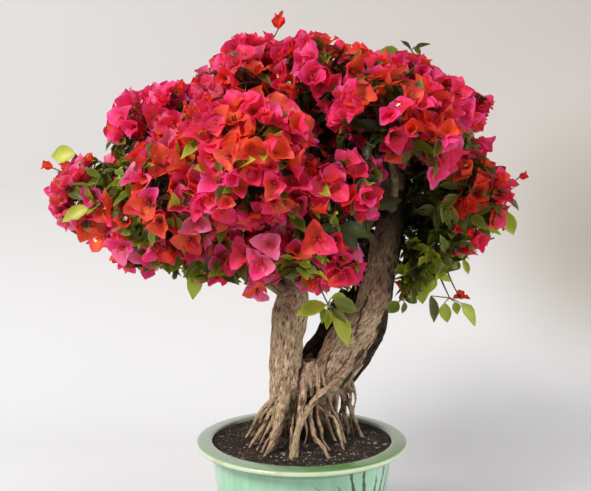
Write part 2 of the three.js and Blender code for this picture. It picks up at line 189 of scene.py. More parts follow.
# name, place, aim, size, power and colour of each light
lamps = [
    ("window", (-1.5, -1.5, 1.9), (0.0, 0.0, 0.45), 0.9, 71, (1.0, 0.985, 0.96)),
    ("fill", (1.6, -1.4, 0.9), (0.0, 0.0, 0.45), 1.6, 13, (0.95, 0.97, 1.0)),
    ("wallWashLeft", (-1.25, 0.15, 0.35), (-0.2, 1.1, 0.1), 0.9, 0.8, (1.0, 0.99, 0.99)),
    ("wallWashRight", (1.1, 0.0, 0.28), (0.5, 0.95, 0.0), 1.0, 5.4, (1.0, 0.99, 0.98)),
]


def addCamera():
    data = bpy.data.cameras.new("camera")
    data.lens = cameraView["lens"]
    data.sensor_width = 36
    data.clip_end = 50
    cam = link(bpy.data.objects.new("camera", data))
    cam.location = cameraView["place"]
    cam.rotation_euler = (math.radians(cameraView["pitch"]), 0, 0)
    bpy.context.scene.camera = cam


def areaLight(name, place, aim, size, power, colour):
    data = bpy.data.lights.new(name, "AREA")
    data.shape = "DISK"
    data.size = size
    data.energy = power
    data.color = colour
    lamp = link(bpy.data.objects.new(name, data))
    lamp.location = place
    lamp.rotation_euler = (Vector(aim) - Vector(place)).to_track_quat("-Z", "Y").to_euler()


def wallMaterial():
    material, web, shader = newMaterial("wallPaint")
    coords = web.objectPlace()
    x, y, z = web.split(coords)
    across = web.span(x, -0.9, 0.8)
    # painted shade: the wall is painted darker towards the right
    colour = web.ramp(across, (0, paint["left"]), (1, paint["right"]))
    # painted light: the lower wall and the floor are painted paler
    low = web.times(web.span(z, 0.62, 0.0), web.math("MULTIPLY_ADD", across, -0.14, 1.0))
    colour = web.mix(low, colour, paint["low"])
    # painted shade: one broad patch on the right is painted darker
    away = web.vector("DISTANCE", {0: coords, 1: paint["paintedWallShadePlace"]})["Value"]
    colour = web.mix(web.span(away, 0.5, 0.05, toHigh=0.88, kind="SMOOTHSTEP"), colour, paint["paintedWallShade"])
    # painted shade: the floor is painted a little darker in front, where the window's light is strongest
    colour = web.mix(web.span(y, 0.45, -0.3, toHigh=0.3), colour, paint["front"])
    web.fill(shader, {"Base Color": colour, "Roughness": 0.9})
    # from behind, the wall is clear
    clear = web.add("BsdfTransparent").outputs["BSDF"]
    web.blend(web.add("NewGeometry").outputs["Backfacing"], shader.outputs["BSDF"], clear)
    return material


def addStudio():
    tidySelection()
    reach, back, curve, steps = [studio[k] for k in ("reach", "wallBehind", "curve", "curveSteps")]
    profile = [(-reach, 0.0), (back - curve, 0.0)]
    for i in range(1, steps + 1):
        a = i / steps * math.pi / 2
        profile.append((back - curve + curve * math.sin(a), curve - curve * math.cos(a)))
    profile.append((back, studio["wallHeight"]))
    bpy.ops.mesh.primitive_plane_add(size=1)
    sweep = bpy.context.object
    sweep.name = "sweep"
    mesh = bmesh.new()
    rows = []
    for y, z in profile:
        rows.append([mesh.verts.new((x, y, z)) for x in (-reach, reach)])
    for a, b in zip(rows, rows[1:]):
        mesh.faces.new((a[0], a[1], b[1], b[0]))
    mesh.to_mesh(sweep.data)
    mesh.free()
    for p in sweep.data.polygons:
        p.use_smooth = True
    sweep.data.materials.append(wallMaterial())
    for lamp in lamps:
        areaLight(*lamp)
    world = bpy.data.worlds.new("room")
    bpy.context.scene.world = world
    world.use_nodes = True
    light = world.node_tree.nodes["Background"]
    light.inputs["Color"].default_value = (0.93, 0.95, 1.0, 1)
    light.inputs["Strength"].default_value = studio["roomLight"]
    bpy.context.scene.view_settings.view_transform = "Standard"


addCamera()
addStudio()

print("stage: growth rule")

# The tree's limbs, in millimetres: the same stems, boughs and masses as the solids
stems = {
    "left": [(-19, -11, 236), (-20, -12, 275), (-20, -12, 316), (-16, -12, 363), (-12, -12, 396)],
    "main": [(26, 0, 236), (40, 1, 275), (60, 3, 323), (90, 6, 359), (103, 8, 397), (110, 8, 430),
             (115, 8, 461), (122, 8, 490), (130, 8, 524)],
    "back": [(2, 16, 262), (12, 26, 298), (41, 38, 329), (68, 46, 362), (90, 52, 402), (100, 60, 450)],
}
stemRadii = {
    "left": [24, 22, 21, 22, 14],
    "main": [28, 27, 24, 21, 23, 18, 20, 17, 12],
    "back": [18, 17, 16, 16, 15, 13],
}
# middle, reach, what carries it, the share of the way along that, and the bough's thickness
massRows = {
    "top": ((-50, -6, 648), 96, "main", 0.97, 11),
    "top_right": ((162, -4, 622), 95, "main", 0.99, 10),
    "front_right": ((100, -116, 582), 90, "main", 0.86, 8),
    "front_mid": ((44, -134, 500), 84, "main", 0.72, 6),
    "right_low": ((176, -22, 424), 74, "main", 0.6, 6),
    "right": ((212, -12, 514), 78, "top_right", 0.3, 5),
    "top_front": ((46, -62, 648), 88, "top", 0.4, 6),
    "back_top": ((2, 138, 612), 104, "back", 0.97, 9),
    "back_right": ((156, 128, 550), 94, "back", 0.9, 8),
    "back_low": ((16, 146, 458), 84, "back", 0.8, 6),
    "left_tip": ((-262, -30, 512), 70, "left", 0.95, 9),
    "front_centre": ((-58, -146, 546), 94, "left", 0.99, 8),
    "back_left": ((-176, 122, 546), 98, "left", 0.97, 8),
    "left_shelf": ((-172, -22, 592), 84, "left_tip", 0.3, 6),
    "left_mid": ((-150, -106, 510), 88, "left_tip", 0.22, 6),
    "left_low": ((-184, -50, 444), 70, "left_tip", 0.36, 5),
    "low_mid": ((-92, -66, 440), 66, "left", 0.88, 5),
    "front_low": ((8, -108, 428), 68, "front_centre", 0.22, 5),
}
masses = {}
for name, row in massRows.items():
    masses[name] = dict(zip(("centre", "reach", "from", "share", "bough"), row))
flatness = 0.85
goldenAngle = math.pi * (3 - math.sqrt(5))
farAway = 1e9
# the bough's way to its mass, as shares of its length or of the mass's reach
boughWay = {"aside": 0.16, "lift": 0.1, "near": 0.35, "far": 0.4, "rise": 0.12}


def seeded(seed):
    # the same stream of numbers from 0 to 1 for the same seed
    state = [math.fmod(seed * 7919 + 12345, 2147483647)]

    def draw():
        state[0] = math.fmod(state[0] * 16807, 2147483647)
        return state[0] / 2147483647

    return draw


def smoothCurve(points, divisions=200):
    # a curve through the points, kept as close samples and their distance along it
    p = [np.array(q, float) for q in points]
    p = [2 * p[0] - p[1]] + p + [2 * p[-1] - p[-2]]
    rows = []
    spans = len(points) - 1
    for i in range(divisions + 1):
        place = min(i / divisions * spans, spans - 1e-9)
        k, t = int(place), place - int(place)
        a, b, c, d = p[k], p[k + 1], p[k + 2], p[k + 3]
        slopeIn, slopeOut = (c - a) * 0.5, (d - b) * 0.5
        cubic = 2 * b - 2 * c + slopeIn + slopeOut
        square = -3 * b + 3 * c - 2 * slopeIn - slopeOut
        rows.append(b + slopeIn * t + square * t * t + cubic * t ** 3)
    rows = np.array(rows)
    steps = np.linalg.norm(np.diff(rows, axis=0), axis=1)
    along = np.concatenate([[0], np.cumsum(steps)])
    return {"rows": rows, "along": along, "whole": along[-1]}


def pointAt(curve, share):
    # the point at a share of the curve's whole length
    where = share * curve["whole"]
    return np.array([np.interp(where, curve["along"], curve["rows"][:, k]) for k in range(3)])


def unit(v):
    return v / max(np.linalg.norm(v), 1e-9)


def alongList(values, share):
    # the value at a share of the way along the list
    place = share * (len(values) - 1)
    i = min(int(place), len(values) - 2)
    return values[i] + (values[i + 1] - values[i]) * (place - i)


squash = np.array([1, 1, 1 / flatness])
massNames = list(masses)
middles = {name: np.array(mass["centre"], float) for name, mass in masses.items()}
massCentres = np.array(list(middles.values()))
massReaches = np.array([masses[n]["reach"] for n in massNames], float)


def roomIn(name, point):
    # the distance from a point to the nearest neighbouring mass's space, below 0 inside it
    k = massNames.index(name)
    powers = (((point - massCentres) * squash) ** 2).sum(axis=1) - massReaches ** 2
    between = np.linalg.norm((massCentres - massCentres[k]) * squash, axis=1)
    between[k] = 1
    room = (powers - powers[k]) / (2 * between)
    room[k] = farAway
    return room.min()


def outness(name, point):
    # 0 at the middle of the mass's space and 1 at its edge
    return np.linalg.norm((point - middles[name]) * squash) / masses[name]["reach"]


def insideMass(name, point, margin, stretch):
    # whether a point is in the mass's own space, with that margin to its neighbours
    return outness(name, point) < stretch and roomIn(name, point) > margin


def drawnIn(name, direction, most, room):
    # the farthest place that way which leaves that much room to the neighbours
    out = most
    while out > 4 and roomIn(name, middles[name] + direction * out) < room:
        out -= 1.5
    return middles[name] + direction * out


def evenDirection(k, count, offset):
    # the k-th of many directions spread evenly over a ball
    height = 1 - (2 * k + 1) / count
    turn = k * goldenAngle + offset
    flat = math.sqrt(1 - height * height)
    return np.array([math.cos(turn) * flat, math.sin(turn) * flat, height * flatness])


def routeOf(name, carrier, share, carrierRadius):
    # the bough to a mass, drawn on through it as a stem
    mass, centre = masses[name], middles[name]
    draw = seeded(mass["reach"] + mass["centre"][0])
    start = pointAt(carrier, share)
    inward = unit(centre - start)
    near = centre - inward * boughWay["near"] * mass["reach"]
    far = centre + inward * boughWay["far"] * mass["reach"] + np.array([0, 0, boughWay["rise"] * mass["reach"]])
    length = np.linalg.norm(near - start)
    aside = [(draw() - 0.5) * boughWay["aside"] * length for k in range(2)]
    bend = (start + near) / 2 + np.array(aside + [boughWay["lift"] * length])
    curve = smoothCurve([start, bend, near, far])
    entry = (carrierRadius + 10) / curve["whole"]
    while entry < 0.8 and not insideMass(name, pointAt(curve, entry), 3, 0.9):
        entry += 0.005
    return {"curve": curve, "entry": entry, "bough": mass["bough"]}


stemCurves = {name: smoothCurve(points) for name, points in stems.items()}
routes = {}
for name, mass in masses.items():
    source, share = mass["from"], mass["share"]
    if source in stems:
        routes[name] = routeOf(name, stemCurves[source], share, alongList(stemRadii[source], share))
    else:
        carrier = routes[source]
        routes[name] = routeOf(name, carrier["curve"], min(share, carrier["entry"] * 0.9), carrier["bough"])

print("stage: materials")

bractColours = {  # face, edge, heart, and the light that comes through
    "hotPink": ((240, 40, 92), (246, 64, 140), (240, 76, 50), (252, 60, 74)),
    "magenta": ((243, 50, 126), (248, 96, 174), (236, 50, 80), (252, 56, 112)),
    "coral": ((240, 94, 56), (242, 70, 86), (244, 118, 48), (252, 98, 48)),
    "scarlet": ((228, 60, 38), (226, 44, 58), (238, 92, 36), (244, 70, 34)),
    "rose": ((247, 106, 156), (250, 138, 194), (243, 94, 98), (254, 116, 140)),
    "crimson": ((200, 24, 50), (192, 24, 68), (198, 38, 32), (214, 34, 40)),
    # painted shade: the deepest red is a darker copy of the pinks, for blooms in the crown's shade
    "deepRed": ((164, 16, 42), (156, 18, 58), (162, 28, 28), (180, 26, 36)),
}
leafColours = {
    "brightLeaf": ((140, 150, 30), (174, 180, 62), (158, 164, 46), (178, 184, 34)),
    "midLeaf": ((92, 108, 26), (130, 142, 50), (116, 128, 40), (132, 144, 34)),
    "oliveLeaf": ((72, 78, 24), (102, 106, 42), (94, 96, 34), (106, 112, 28)),
    # the pale lime green is partly the leaves' own colour and partly painted light, for leaves lit from behind
    "youngLeaf": ((178, 188, 66), (162, 178, 56), (190, 198, 86), (200, 214, 78)),
    "darkLeaf": ((46, 56, 20), (42, 50, 18), (60, 68, 26), (64, 78, 22)),
    # painted shade: the darkest green is a darker copy of the leaf greens, for leaves in the crown's shade
    "shadeLeaf": ((30, 38, 14), (38, 46, 20), (38, 46, 20), (36, 46, 16)),
}
# two tones, scale of the mottle, roughness and depth of the relief
plainLooks = {
    "twig": ((70, 52, 38), (104, 88, 58), 260, 0.8, 0.0004),
    "greenTwig": ((112, 128, 58), (136, 112, 66), 200, 0.6, 0.0002),
    "tube": ((150, 26, 52), (196, 60, 84), 300, 0.5, 0.0002),
    "star": ((238, 226, 176), (250, 244, 214), 300, 0.5, 0.0002),
    "grit": ((128, 118, 106), (172, 162, 150), 500, 0.8, 0.0003),
    "barkBit": ((66, 46, 34), (104, 80, 60), 500, 0.9, 0.0004),
}


def veinGroup():
    # a midrib and side veins on a bract or leaf, from its own UV map: u across, v along
    group, web, given, end = makeGroup(
        "sheetVeins",
        [("Colour", "Color", (1, 0, 0, 1)), ("Vein Colour", "Color", (1, 1, 1, 1)),
         ("Edge Colour", "Color", (0.5, 0, 0, 1)), ("Heart Colour", "Color", (0.5, 0, 0, 1)),
         ("Vein Count", "Float", 7.0)],
        [("Colour", "Color"), ("Height", "Float")],
    )
    u, v = web.split(web.add("UVMap", uv_map="sheet").outputs["UV"])[:2]
    across = web.math("ABSOLUTE", web.minus(u, 0.5))
    slant = web.minus(v, web.times(across, 0.55))
    wave = web.math("SINE", web.times(web.times(slant, given["Vein Count"]), 2 * math.pi))
    side = web.times(web.math("SMOOTH_MAX", web.minus(wave, 0.86), 0.0, 0.02), 5.0)
    line = web.math("MAXIMUM", side, web.span(across, 0.035, 0.0))
    rim = web.math("MAXIMUM", web.span(across, 0.26, 0.5), web.span(v, 0.62, 1.0))
    colour = web.mix(web.span(v, 0.62, 0.0), given["Colour"], given["Heart Colour"])
    colour = web.mix(rim, colour, given["Edge Colour"])
    colour = web.mix(web.times(line, 0.4), colour, given["Vein Colour"])
    # no two sheets have quite the same tone
    tone = web.span(web.noise(web.objectPlace(), 42, 2, 0.5), 0.35, 0.65, 0.84, 1.16)
    shaded = web.fill(web.add("HueSaturation"), {"Saturation": 0.99, "Value": tone, "Color": colour})
    web.fill(end, {"Colour": shaded["Color"], "Height": line})
    return group


def sheetMaterial(name, colours, lift, through, roughness, veinCount):
    # a thin sheet that some light passes through
    material, web, shader = newMaterial(name)
    face, edge, heart, glow = [linear(*c) for c in colours]
    vein = linear(*[min(255, c + lift) for c in colours[0]])
    values = {"Colour": face, "Vein Colour": vein, "Edge Colour": edge, "Heart Colour": heart,
              "Vein Count": veinCount}
    veins = web.fill(web.add("Group", node_tree=sheetVeins), values)
    web.fill(shader, {"Roughness": roughness, "Specular IOR Level": 0.35, "Base Color": veins["Colour"],
                      "Normal": web.bump(veins["Height"], 0.0006, 0.35)})
    light = web.fill(web.add("BsdfTranslucent"), {"Color": glow})
    web.blend(through, shader.outputs["BSDF"], light["BSDF"])
    return material


def plainMaterial(name, dark, light, scale, roughness, depth):
    # two tones in a fine mottle, for twigs, flower tubes and grit
    material, web, shader = newMaterial(name)
    mottle = web.noise(web.objectPlace(), scale, 4, 0.5)
    colour = web.ramp(mottle, (0.35, linear(*dark)), (0.65, linear(*light)))
    web.fill(shader, {"Roughness": roughness, "Base Color": colour, "Normal": web.bump(mottle, depth)})
    return material


sheetVeins = veinGroup()
materials = {}
for name, colours in bractColours.items():
    materials[name] = sheetMaterial(name, colours, 20, 0.42, 0.5, 5.0)
for name, colours in leafColours.items():
    materials[name] = sheetMaterial(name, colours, 34, 0.24, 0.4, 6.0)
for name, look in plainLooks.items():
    materials[name] = plainMaterial(name, *look)

print("stage: leaves and blooms")

sheetRows = [0, 0.1, 0.26, 0.45, 0.64, 0.82, 0.93, 1.0]
sheetColumns = [-1, -0.55, 0, 0.55, 1]


def sheetTemplate(widths, halfWidth, cup, bend, ripple, phase, fold):
    # a bract or a leaf one unit long: x across, y along, z out of its inner face
    points, uvs = [], []
    for t, w in zip(sheetRows, widths):
        for s in sheetColumns:
            x = s * w * halfWidth
            lift = cup * (s * w) ** 2 * 0.5 + fold * abs(s) * w * halfWidth
            wave = ripple * math.sin(2 * math.pi * (1.6 * t + phase + 0.25 * s)) * abs(s) * w
            z = lift + wave + bend * t * t
            points.append((x, t - 0.35 * abs(bend) * t * t * t, z))
            uvs.append((0.5 + 0.5 * s, t))
    faces = []
    n = len(sheetColumns)
    for r in range(len(sheetRows) - 1):
        for c in range(n - 1):
            a = r * n + c
            faces.append((a, a + 1, a + n + 1, a + n))
    return np.array(points), np.array(uvs), faces


bractWidths = [0.17, 0.66, 0.95, 1.0, 0.87, 0.55, 0.26, 0.015]
leafWidths = [0.05, 0.5, 0.9, 1.0, 0.8, 0.42, 0.17, 0.01]
shapeDraw = seeded(77)
# least and spread of half width, cup, bend, ripple, phase and fold; a spread of 0 draws nothing
bractRanges = [(0.36, 0.08), (0.2, 0.6), (-0.4, 0.66), (0.07, 0.11), (0, 1), (0.06, 0.16)]
leafRanges = [(0.2, 0.06), (0.05, 0), (0, -0.3), (0.02, 0.02), (0, 1), (0.25, 0.2)]


def drawnSheet(widths, ranges):
    shape = [least + spread * shapeDraw() if spread else least for least, spread in ranges]
    return sheetTemplate(widths, *shape)


bracts = [drawnSheet(bractWidths, bractRanges) for k in range(14)]
leafShapes = [drawnSheet(leafWidths, leafRanges) for k in range(8)]

# a petal of the small flower, folded along its middle
petalPoints = [(-0.1, 0, 0), (0.1, 0, 0), (-0.3, 0.6, 0.1), (0, 0.5, 0), (0.3, 0.6, 0.1), (0, 1, 0.05)]
petalPlaces = [(0.4, 0), (0.6, 0), (0.2, 0.6), (0.5, 0.5), (0.8, 0.6), (0.5, 1)]
petalFaces = [(0, 3, 2), (0, 1, 3), (1, 4, 3), (2, 3, 5), (3, 4, 5)]
petalShape = (np.array(petalPoints), np.array(petalPlaces), petalFaces)


class Heap:
    # many small meshes gathered into one, per material
    def __init__(self):
        self.points, self.faces, self.uvs, self.count = [], [], [], 0

    def add(self, points, faces, uvs=None):
        self.points.append(points)
        self.faces.extend([[i + self.count for i in f] for f in faces])
        self.uvs.append(uvs if uvs is not None else np.zeros((len(points), 2)))
        self.count += len(points)


heaps = {}


def heapOf(kind, material):
    return heaps.setdefault((kind, material), Heap())


def oneOf(choices, draw):
    return choices[int(draw() * len(choices)) % len(choices)]


def frameFor(along, face):
    # right, along and out as columns, with out as near to face as it can be
    along = unit(np.array(along, float))
    right = np.cross(along, face)
    if np.linalg.norm(right) < 1e-3:
        right = np.cross(along, (0.3, 1, 0.2))
    right = unit(right)
    return np.stack([right, along, np.cross(right, along)], axis=1)


def addSheet(kind, shape, material, place, along, face, length, wide=1.0):
    points, uvs, faces = shape
    turned = (points * (length * wide, length, length)) @ frameFor(along, face).T + place
    heapOf(kind, material).add(turned, faces, uvs)


def addLimb(kind, material, points, radii, sides):
    # a tapering tube through the points
    points = np.array(points, float)
    ahead = np.gradient(points, axis=0)
    ahead /= np.maximum(np.linalg.norm(ahead, axis=1, keepdims=True), 1e-9)
    rings = []
    side = np.cross(ahead[0], (0.2, 0.1, 1) if abs(ahead[0][2]) < 0.8 else (1, 0.1, 0.2))
    for p, a, r in zip(points, ahead, radii):
        side = unit(side - a * side.dot(a))
        over = np.cross(side, a)
        turns = [2 * math.pi * k / sides for k in range(sides)]
        rings.append([p + side * math.cos(t) * r - over * math.sin(t) * r for t in turns])
    count = len(points)
    tip = points[-1] + ahead[-1] * radii[-1] * 0.8
    corners = np.array([q for ring in rings for q in ring] + [tip])
    faces = []
    for r in range(count - 1):
        for k in range(sides):
            a, b = r * sides + k, r * sides + (k + 1) % sides
            faces.append((a, a + sides, b + sides, b))
    last = (count - 1) * sides
    for k in range(sides):
        faces.append((last + k, count * sides, last + (k + 1) % sides))
    heapOf(kind, material).add(corners, faces)


bloom = {"gap": 1.2, "shutLean": 12, "lean": 66, "tube": 15, "starShare": 0.1, "petal": 3.4}


def addBloom(place, facing, size, openness, colour, partner, draw):
    # three papery bracts round three thin tubes; openness is 0 for a bud and 1 for flat open
    facing = unit(facing)
    turn = draw() * 2 * math.pi
    basis = frameFor(facing, (math.cos(turn), math.sin(turn), 0.3))
    right, out = basis[:, 0], basis[:, 2]
    for k in range(3):
        a = turn + 2 * math.pi * k / 3 + (draw() - 0.5) * 0.3
        away = right * math.cos(a) + out * math.sin(a)
        lean = math.radians(bloom["shutLean"] + bloom["lean"] * openness + 14 * (draw() - 0.5))
        along = facing * math.cos(lean) + away * math.sin(lean)
        inner = facing * math.sin(lean) - away * math.cos(lean)
        shape = oneOf(bracts, draw)
        material = partner if draw() < 0.3 else colour
        length = size * (0.9 + 0.2 * draw())
        addSheet("bracts", shape, material, place + away * bloom["gap"], along, inner, length, 1.05)
    if openness < 0.3:
        return
    for k in range(3):
        a = turn + 2 * math.pi * (k + 0.5) / 3
        away = right * math.cos(a) + out * math.sin(a)
        length = bloom["tube"] * (0.7 + 0.4 * draw()) * size / 28
        end = place + facing * length + away * length * 0.22
        points = [place, (place + end) / 2 + away * 0.8, end]
        addLimb("tubes", "tube", points, [0.6, 0.8, 1.0], 4)
        if k == 0 and draw() < bloom["starShare"]:
            for j in range(5):
                b = j * 2 * math.pi / 5
                petal = right * math.cos(b) + out * math.sin(b) + facing * 0.4
                addSheet("stars", petalShape, "star", end, petal, facing, bloom["petal"])


def addLeaf(place, along, face, length, material, draw):
    shape = oneOf(leafShapes, draw)
    along = unit(along)
    stalk = length * 0.16
    addLimb("leafStalks", "greenTwig", [place, place + along * stalk * 1.1], [0.55, 0.45], 3)
    addSheet("leaves", shape, material, place + along * stalk, along, face, length)


print("stage: crown")

# The crown's edge and its openings as they are seen from the front, in the picture's points
crownEdge = [
    (52, 200), (57, 175), (70, 171), (84, 150), (104, 142), (106, 130), (107, 110), (114, 93), (138, 86),
    (164, 89), (196, 84), (200, 74), (216, 66), (222, 52), (229, 41), (240, 38), (266, 37), (284, 44),
    (294, 34), (331, 30), (336, 42), (352, 50), (372, 54), (400, 55), (414, 54), (428, 58), (438, 77),
    (457, 84), (470, 92), (493, 98), (491, 112), (481, 118), (481, 130), (495, 143), (493, 157), (500, 172),
    (516, 178), (505, 200), (505, 226), (488, 236), (472, 256), (456, 266), (440, 276), (424, 290),
    (408, 302), (390, 306), (376, 296), (358, 292), (340, 296), (320, 292), (300, 290), (277, 298),
    (262, 299), (240, 288), (228, 282), (214, 278), (196, 280), (175, 277), (158, 267), (149, 272),
    (131, 271), (112, 256), (96, 244), (74, 231), (58, 220),
]
# middle, half width and half height, and the depth in mm up to which the opening goes
openings = [
    ((386, 250), (17, 52), 12), ((142, 117), (7, 6), 400), ((176, 262), (9, 7), 400),
    ((464, 221), (12, 8), 400), ((350, 300), (26, 12), 12), ((242, 268), (5, 4), 400),
    ((292, 289), (15, 11), -8), ((289, 269), (5, 7), 400),
]
# dark hollows between the masses, whose shoots are painted in the shade colours: middle, half width and half
# height, and how far back they go
hollows = [
    ((325, 138), (15, 18), -50), ((352, 148), (14, 9), -90), ((402, 176), (22, 11), -60),
    ((388, 188), (14, 18), -60), ((240, 222), (14, 7), -110), ((297, 223), (12, 6), -120),
    ((318, 113), (13, 7), -80), ((384, 162), (15, 10), -70), ((412, 154), (12, 8), -70),
    ((318, 157), (14, 7), -70), ((352, 230), (12, 20), -50), ((414, 226), (20, 30), -400),
    ((270, 100), (12, 6), -100),
]
# patches of the crown's front with more blooms or leaves: middle, half sizes, share of shoots in bloom
patches = [
    ((478, 196), (20, 30), 0.75), ((450, 104), (40, 34), 0.97), ((145, 165), (15, 11), 0.9),
    ((345, 222), (20, 12), 0.02), ((265, 222), (14, 10), 0.9), ((115, 186), (18, 18), 0.08),
    ((72, 202), (20, 32), 0.85), ((112, 168), (18, 32), 0.12), ((108, 232), (20, 24), 0.95),
    ((145, 223), (14, 13), 0.12), ((130, 148), (34, 9), 0.15), ((206, 254), (15, 18), 0.15),
    ((176, 222), (14, 9), 0.35), ((262, 104), (14, 9), 0.1), ((357, 84), (14, 8), 0.0),
    ((250, 200), (10, 12), 0.2), ((320, 218), (24, 9), 0.1), ((425, 197), (54, 25), 0.12),
    ((430, 245), (54, 40), 0.05), ((352, 236), (12, 18), 0.05), ((328, 138), (18, 16), 0.3),
    ((225, 185), (24, 18), 0.9), ((330, 185), (30, 20), 0.95), ((270, 262), (26, 24), 0.9),
    ((250, 165), (32, 16), 0.95), ((220, 132), (70, 18), 0.95), ((290, 72), (70, 16), 0.99),
]
# the picture's middle and focal length in its points, and the camera's place in millimetres
pictureMiddle = (295.5, 245.5)
focal = 710
cameraX, cameraY, cameraZ = [c * 1000 for c in cameraView["place"]]
cameraSlope = math.tan(math.radians(90 - cameraView["pitch"]))


def within(across, down, patch, clear=0.0):
    # whether a place in the picture lies in an oval, made wider and taller by clear
    (x, y), (w, h) = patch[:2]
    return ((across - x) / (w + clear)) ** 2 + ((down - y) / (h + clear)) ** 2 < 1


def seenAt(point):
    # where a point in millimetres is seen from the front, and how many millimetres one picture point is there
    x, y, z = point
    depth = y - cameraY
    scale = depth / focal
    across = pictureMiddle[0] + (x - cameraX) / scale
    down = pictureMiddle[1] + (cameraZ - depth * cameraSlope - z) / scale
    return across, down, scale


def placeAt(across, down, y):
    # the point in millimetres at that depth which is seen there from the front
    depth = y - cameraY
    scale = depth / focal
    return np.array([cameraX + (across - pictureMiddle[0]) * scale, y,
                     cameraZ - depth * cameraSlope - (down - pictureMiddle[1]) * scale])


def insideCrown(point, spread):
    # whether a thing of that spread, in millimetres, stays within the crown's edge and out of its openings
    across, down, scale = seenAt(point)
    margin = spread / scale
    for opening in openings:
        clear = margin if opening[2] < 100 else margin * 0.3
        if point[1] < opening[2] and within(across, down, opening, clear):
            return False
    for hollowShade in hollows:
        if point[1] < hollowShade[2] and within(across, down, hollowShade, margin * 0.45):
            return False
    odd = False
    for (x1, y1), (x2, y2) in zip(crownEdge, crownEdge[1:] + crownEdge[:1]):
        if (y1 > down) != (y2 > down) and across < x1 + (down - y1) / (y2 - y1) * (x2 - x1):
            odd = not odd
        if margin > 0:
            t = ((across - x1) * (x2 - x1) + (down - y1) * (y2 - y1)) / ((x2 - x1) ** 2 + (y2 - y1) ** 2)
            t = min(max(t, 0), 1)
            if math.hypot(x1 + t * (x2 - x1) - across, y1 + t * (y2 - y1) - down) < margin:
                return False
    return odd


def allowed(name, point, spread):
    # whether a thing of that spread may stand there: in its own mass, and in the crown as seen
    stretch = 1.02 - spread / masses[name]["reach"]
    return outness(name, point) < stretch and roomIn(name, point) > -8 and insideCrown(point, spread * 0.8)


# Colours of the blossom in each mass, its share of blooms, and its leaf greens
dress = {
    "top": ("hotPink coral magenta hotPink scarlet rose", 0.86, "midLeaf oliveLeaf"),
    "top_right": ("hotPink crimson scarlet magenta hotPink", 0.76, "oliveLeaf midLeaf darkLeaf"),
    "front_right": ("hotPink coral magenta scarlet hotPink", 0.84, "midLeaf oliveLeaf"),
    "front_mid": ("hotPink scarlet hotPink crimson magenta", 0.78, "midLeaf oliveLeaf brightLeaf"),
    "right_low": ("scarlet crimson hotPink", 0.12, "midLeaf oliveLeaf brightLeaf"),
    "right": ("scarlet hotPink crimson coral", 0.4, "midLeaf oliveLeaf midLeaf"),
    "top_front": ("hotPink coral hotPink magenta scarlet", 0.88, "midLeaf oliveLeaf"),
    "back_top": ("hotPink magenta coral", 0.8, "midLeaf oliveLeaf"),
    "back_right": ("hotPink magenta coral crimson", 0.6, "oliveLeaf darkLeaf"),
    "back_low": ("hotPink magenta", 0.35, "darkLeaf oliveLeaf"),
    "left_tip": ("rose magenta rose coral hotPink", 0.5, "brightLeaf midLeaf oliveLeaf"),
    "front_centre": ("hotPink coral hotPink coral magenta", 0.84, "midLeaf brightLeaf"),
    "back_left": ("hotPink magenta coral", 0.76, "midLeaf oliveLeaf"),
    "left_shelf": ("magenta hotPink magenta rose coral", 0.9, "midLeaf oliveLeaf"),
    "left_mid": ("magenta coral rose scarlet hotPink", 0.7, "brightLeaf midLeaf oliveLeaf"),
    "left_low": ("rose magenta hotPink coral", 0.58, "brightLeaf midLeaf oliveLeaf"),
    "low_mid": ("rose magenta hotPink coral", 0.66, "brightLeaf midLeaf oliveLeaf"),
    "front_low": ("magenta rose hotPink coral", 0.8, "brightLeaf midLeaf"),
}
spray = {
    "mains": 20, "mainSteps": 7, "sideShoots": 7, "shootLength": (18, 42), "bract": (20, 28),
    "leaf": (24, 42), "thick": 2.3, "thin": 1.0, "second": 0.4, "frontUpTo": 60, "shadeWithin": 0.58,
    "shadeBloom": 0.45, "hollowBloom": 0.1, "shortest": 9, "bloomRoom": 0.72, "leastBloomRoom": 0.6,
    "leafRoom": 14, "leastLeafRoom": 4, "shadeDepth": 24, "greenShare": 0.6, "leafBesideBloom": 0.38,
    "leafOnBare": 0.95, "endLeaf": 0.6, "usualReach": 84, "crowding": 1.6, "tipLeast": 0.88,
    "tipMore": 0.08, "tipGap": 16, "boughSteps": 26, "boughTaper": 0.45, "stemTaper": 0.6, "leastStem": 1.4,
}


def between(limits, share):
    # the value at a share of the way from the lower limit to the upper one
    low, high = limits
    return low + (high - low) * share


def taperedRadii(thick, thin, steps):
    # radii from thick to thin at the ends of that many steps
    return [thick - (thick - thin) * i / steps for i in range(steps + 1)]


def stemRadiusIn(route, share):
    # a bough thins towards its end, and goes on inside its mass as a stem
    if share < route["entry"]:
        return route["bough"] * (1 - spray["boughTaper"] * share / route["entry"])
    inside = (share - route["entry"]) / (1 - route["entry"])
    return route["bough"] * (1 - spray["boughTaper"]) * (1 - spray["stemTaper"] * inside)


for name, route in routes.items():
    shares = [i / spray["boughSteps"] for i in range(spray["boughSteps"] + 1)]
    line = [pointAt(route["curve"], s) for s in shares]
    draw = seeded(len(name) * 31 + masses[name]["reach"])
    radii = [max(stemRadiusIn(route, s) * (0.94 + 0.14 * draw()), spray["leastStem"]) for s in shares]
    addLimb("boughs", "boughBark", line, radii, 10)


def bentTwig(start, tip, sag, draw, steps):
    # a twig from start to tip, with a bend and a little waver
    middle = start + (tip - start) * 0.5
    length = np.linalg.norm(tip - start)
    middle = middle + (np.array([draw(), draw(), draw()]) - 0.5) * 0.24 * length
    middle = middle + np.array([0, 0, sag * length])
    rows = []
    for i in range(steps + 1):
        t = i / steps
        rows.append(start * (1 - t) ** 2 + middle * 2 * t * (1 - t) + tip * t * t)
    return rows


def randomUnit(draw):
    # a direction drawn evenly from all sides
    z = draw() * 2 - 1
    a = draw() * 2 * math.pi
    flat = math.sqrt(max(1 - z * z, 0))
    return np.array([math.cos(a) * flat, math.sin(a) * flat, z])


counts = {"blooms": 0, "leaves": 0}


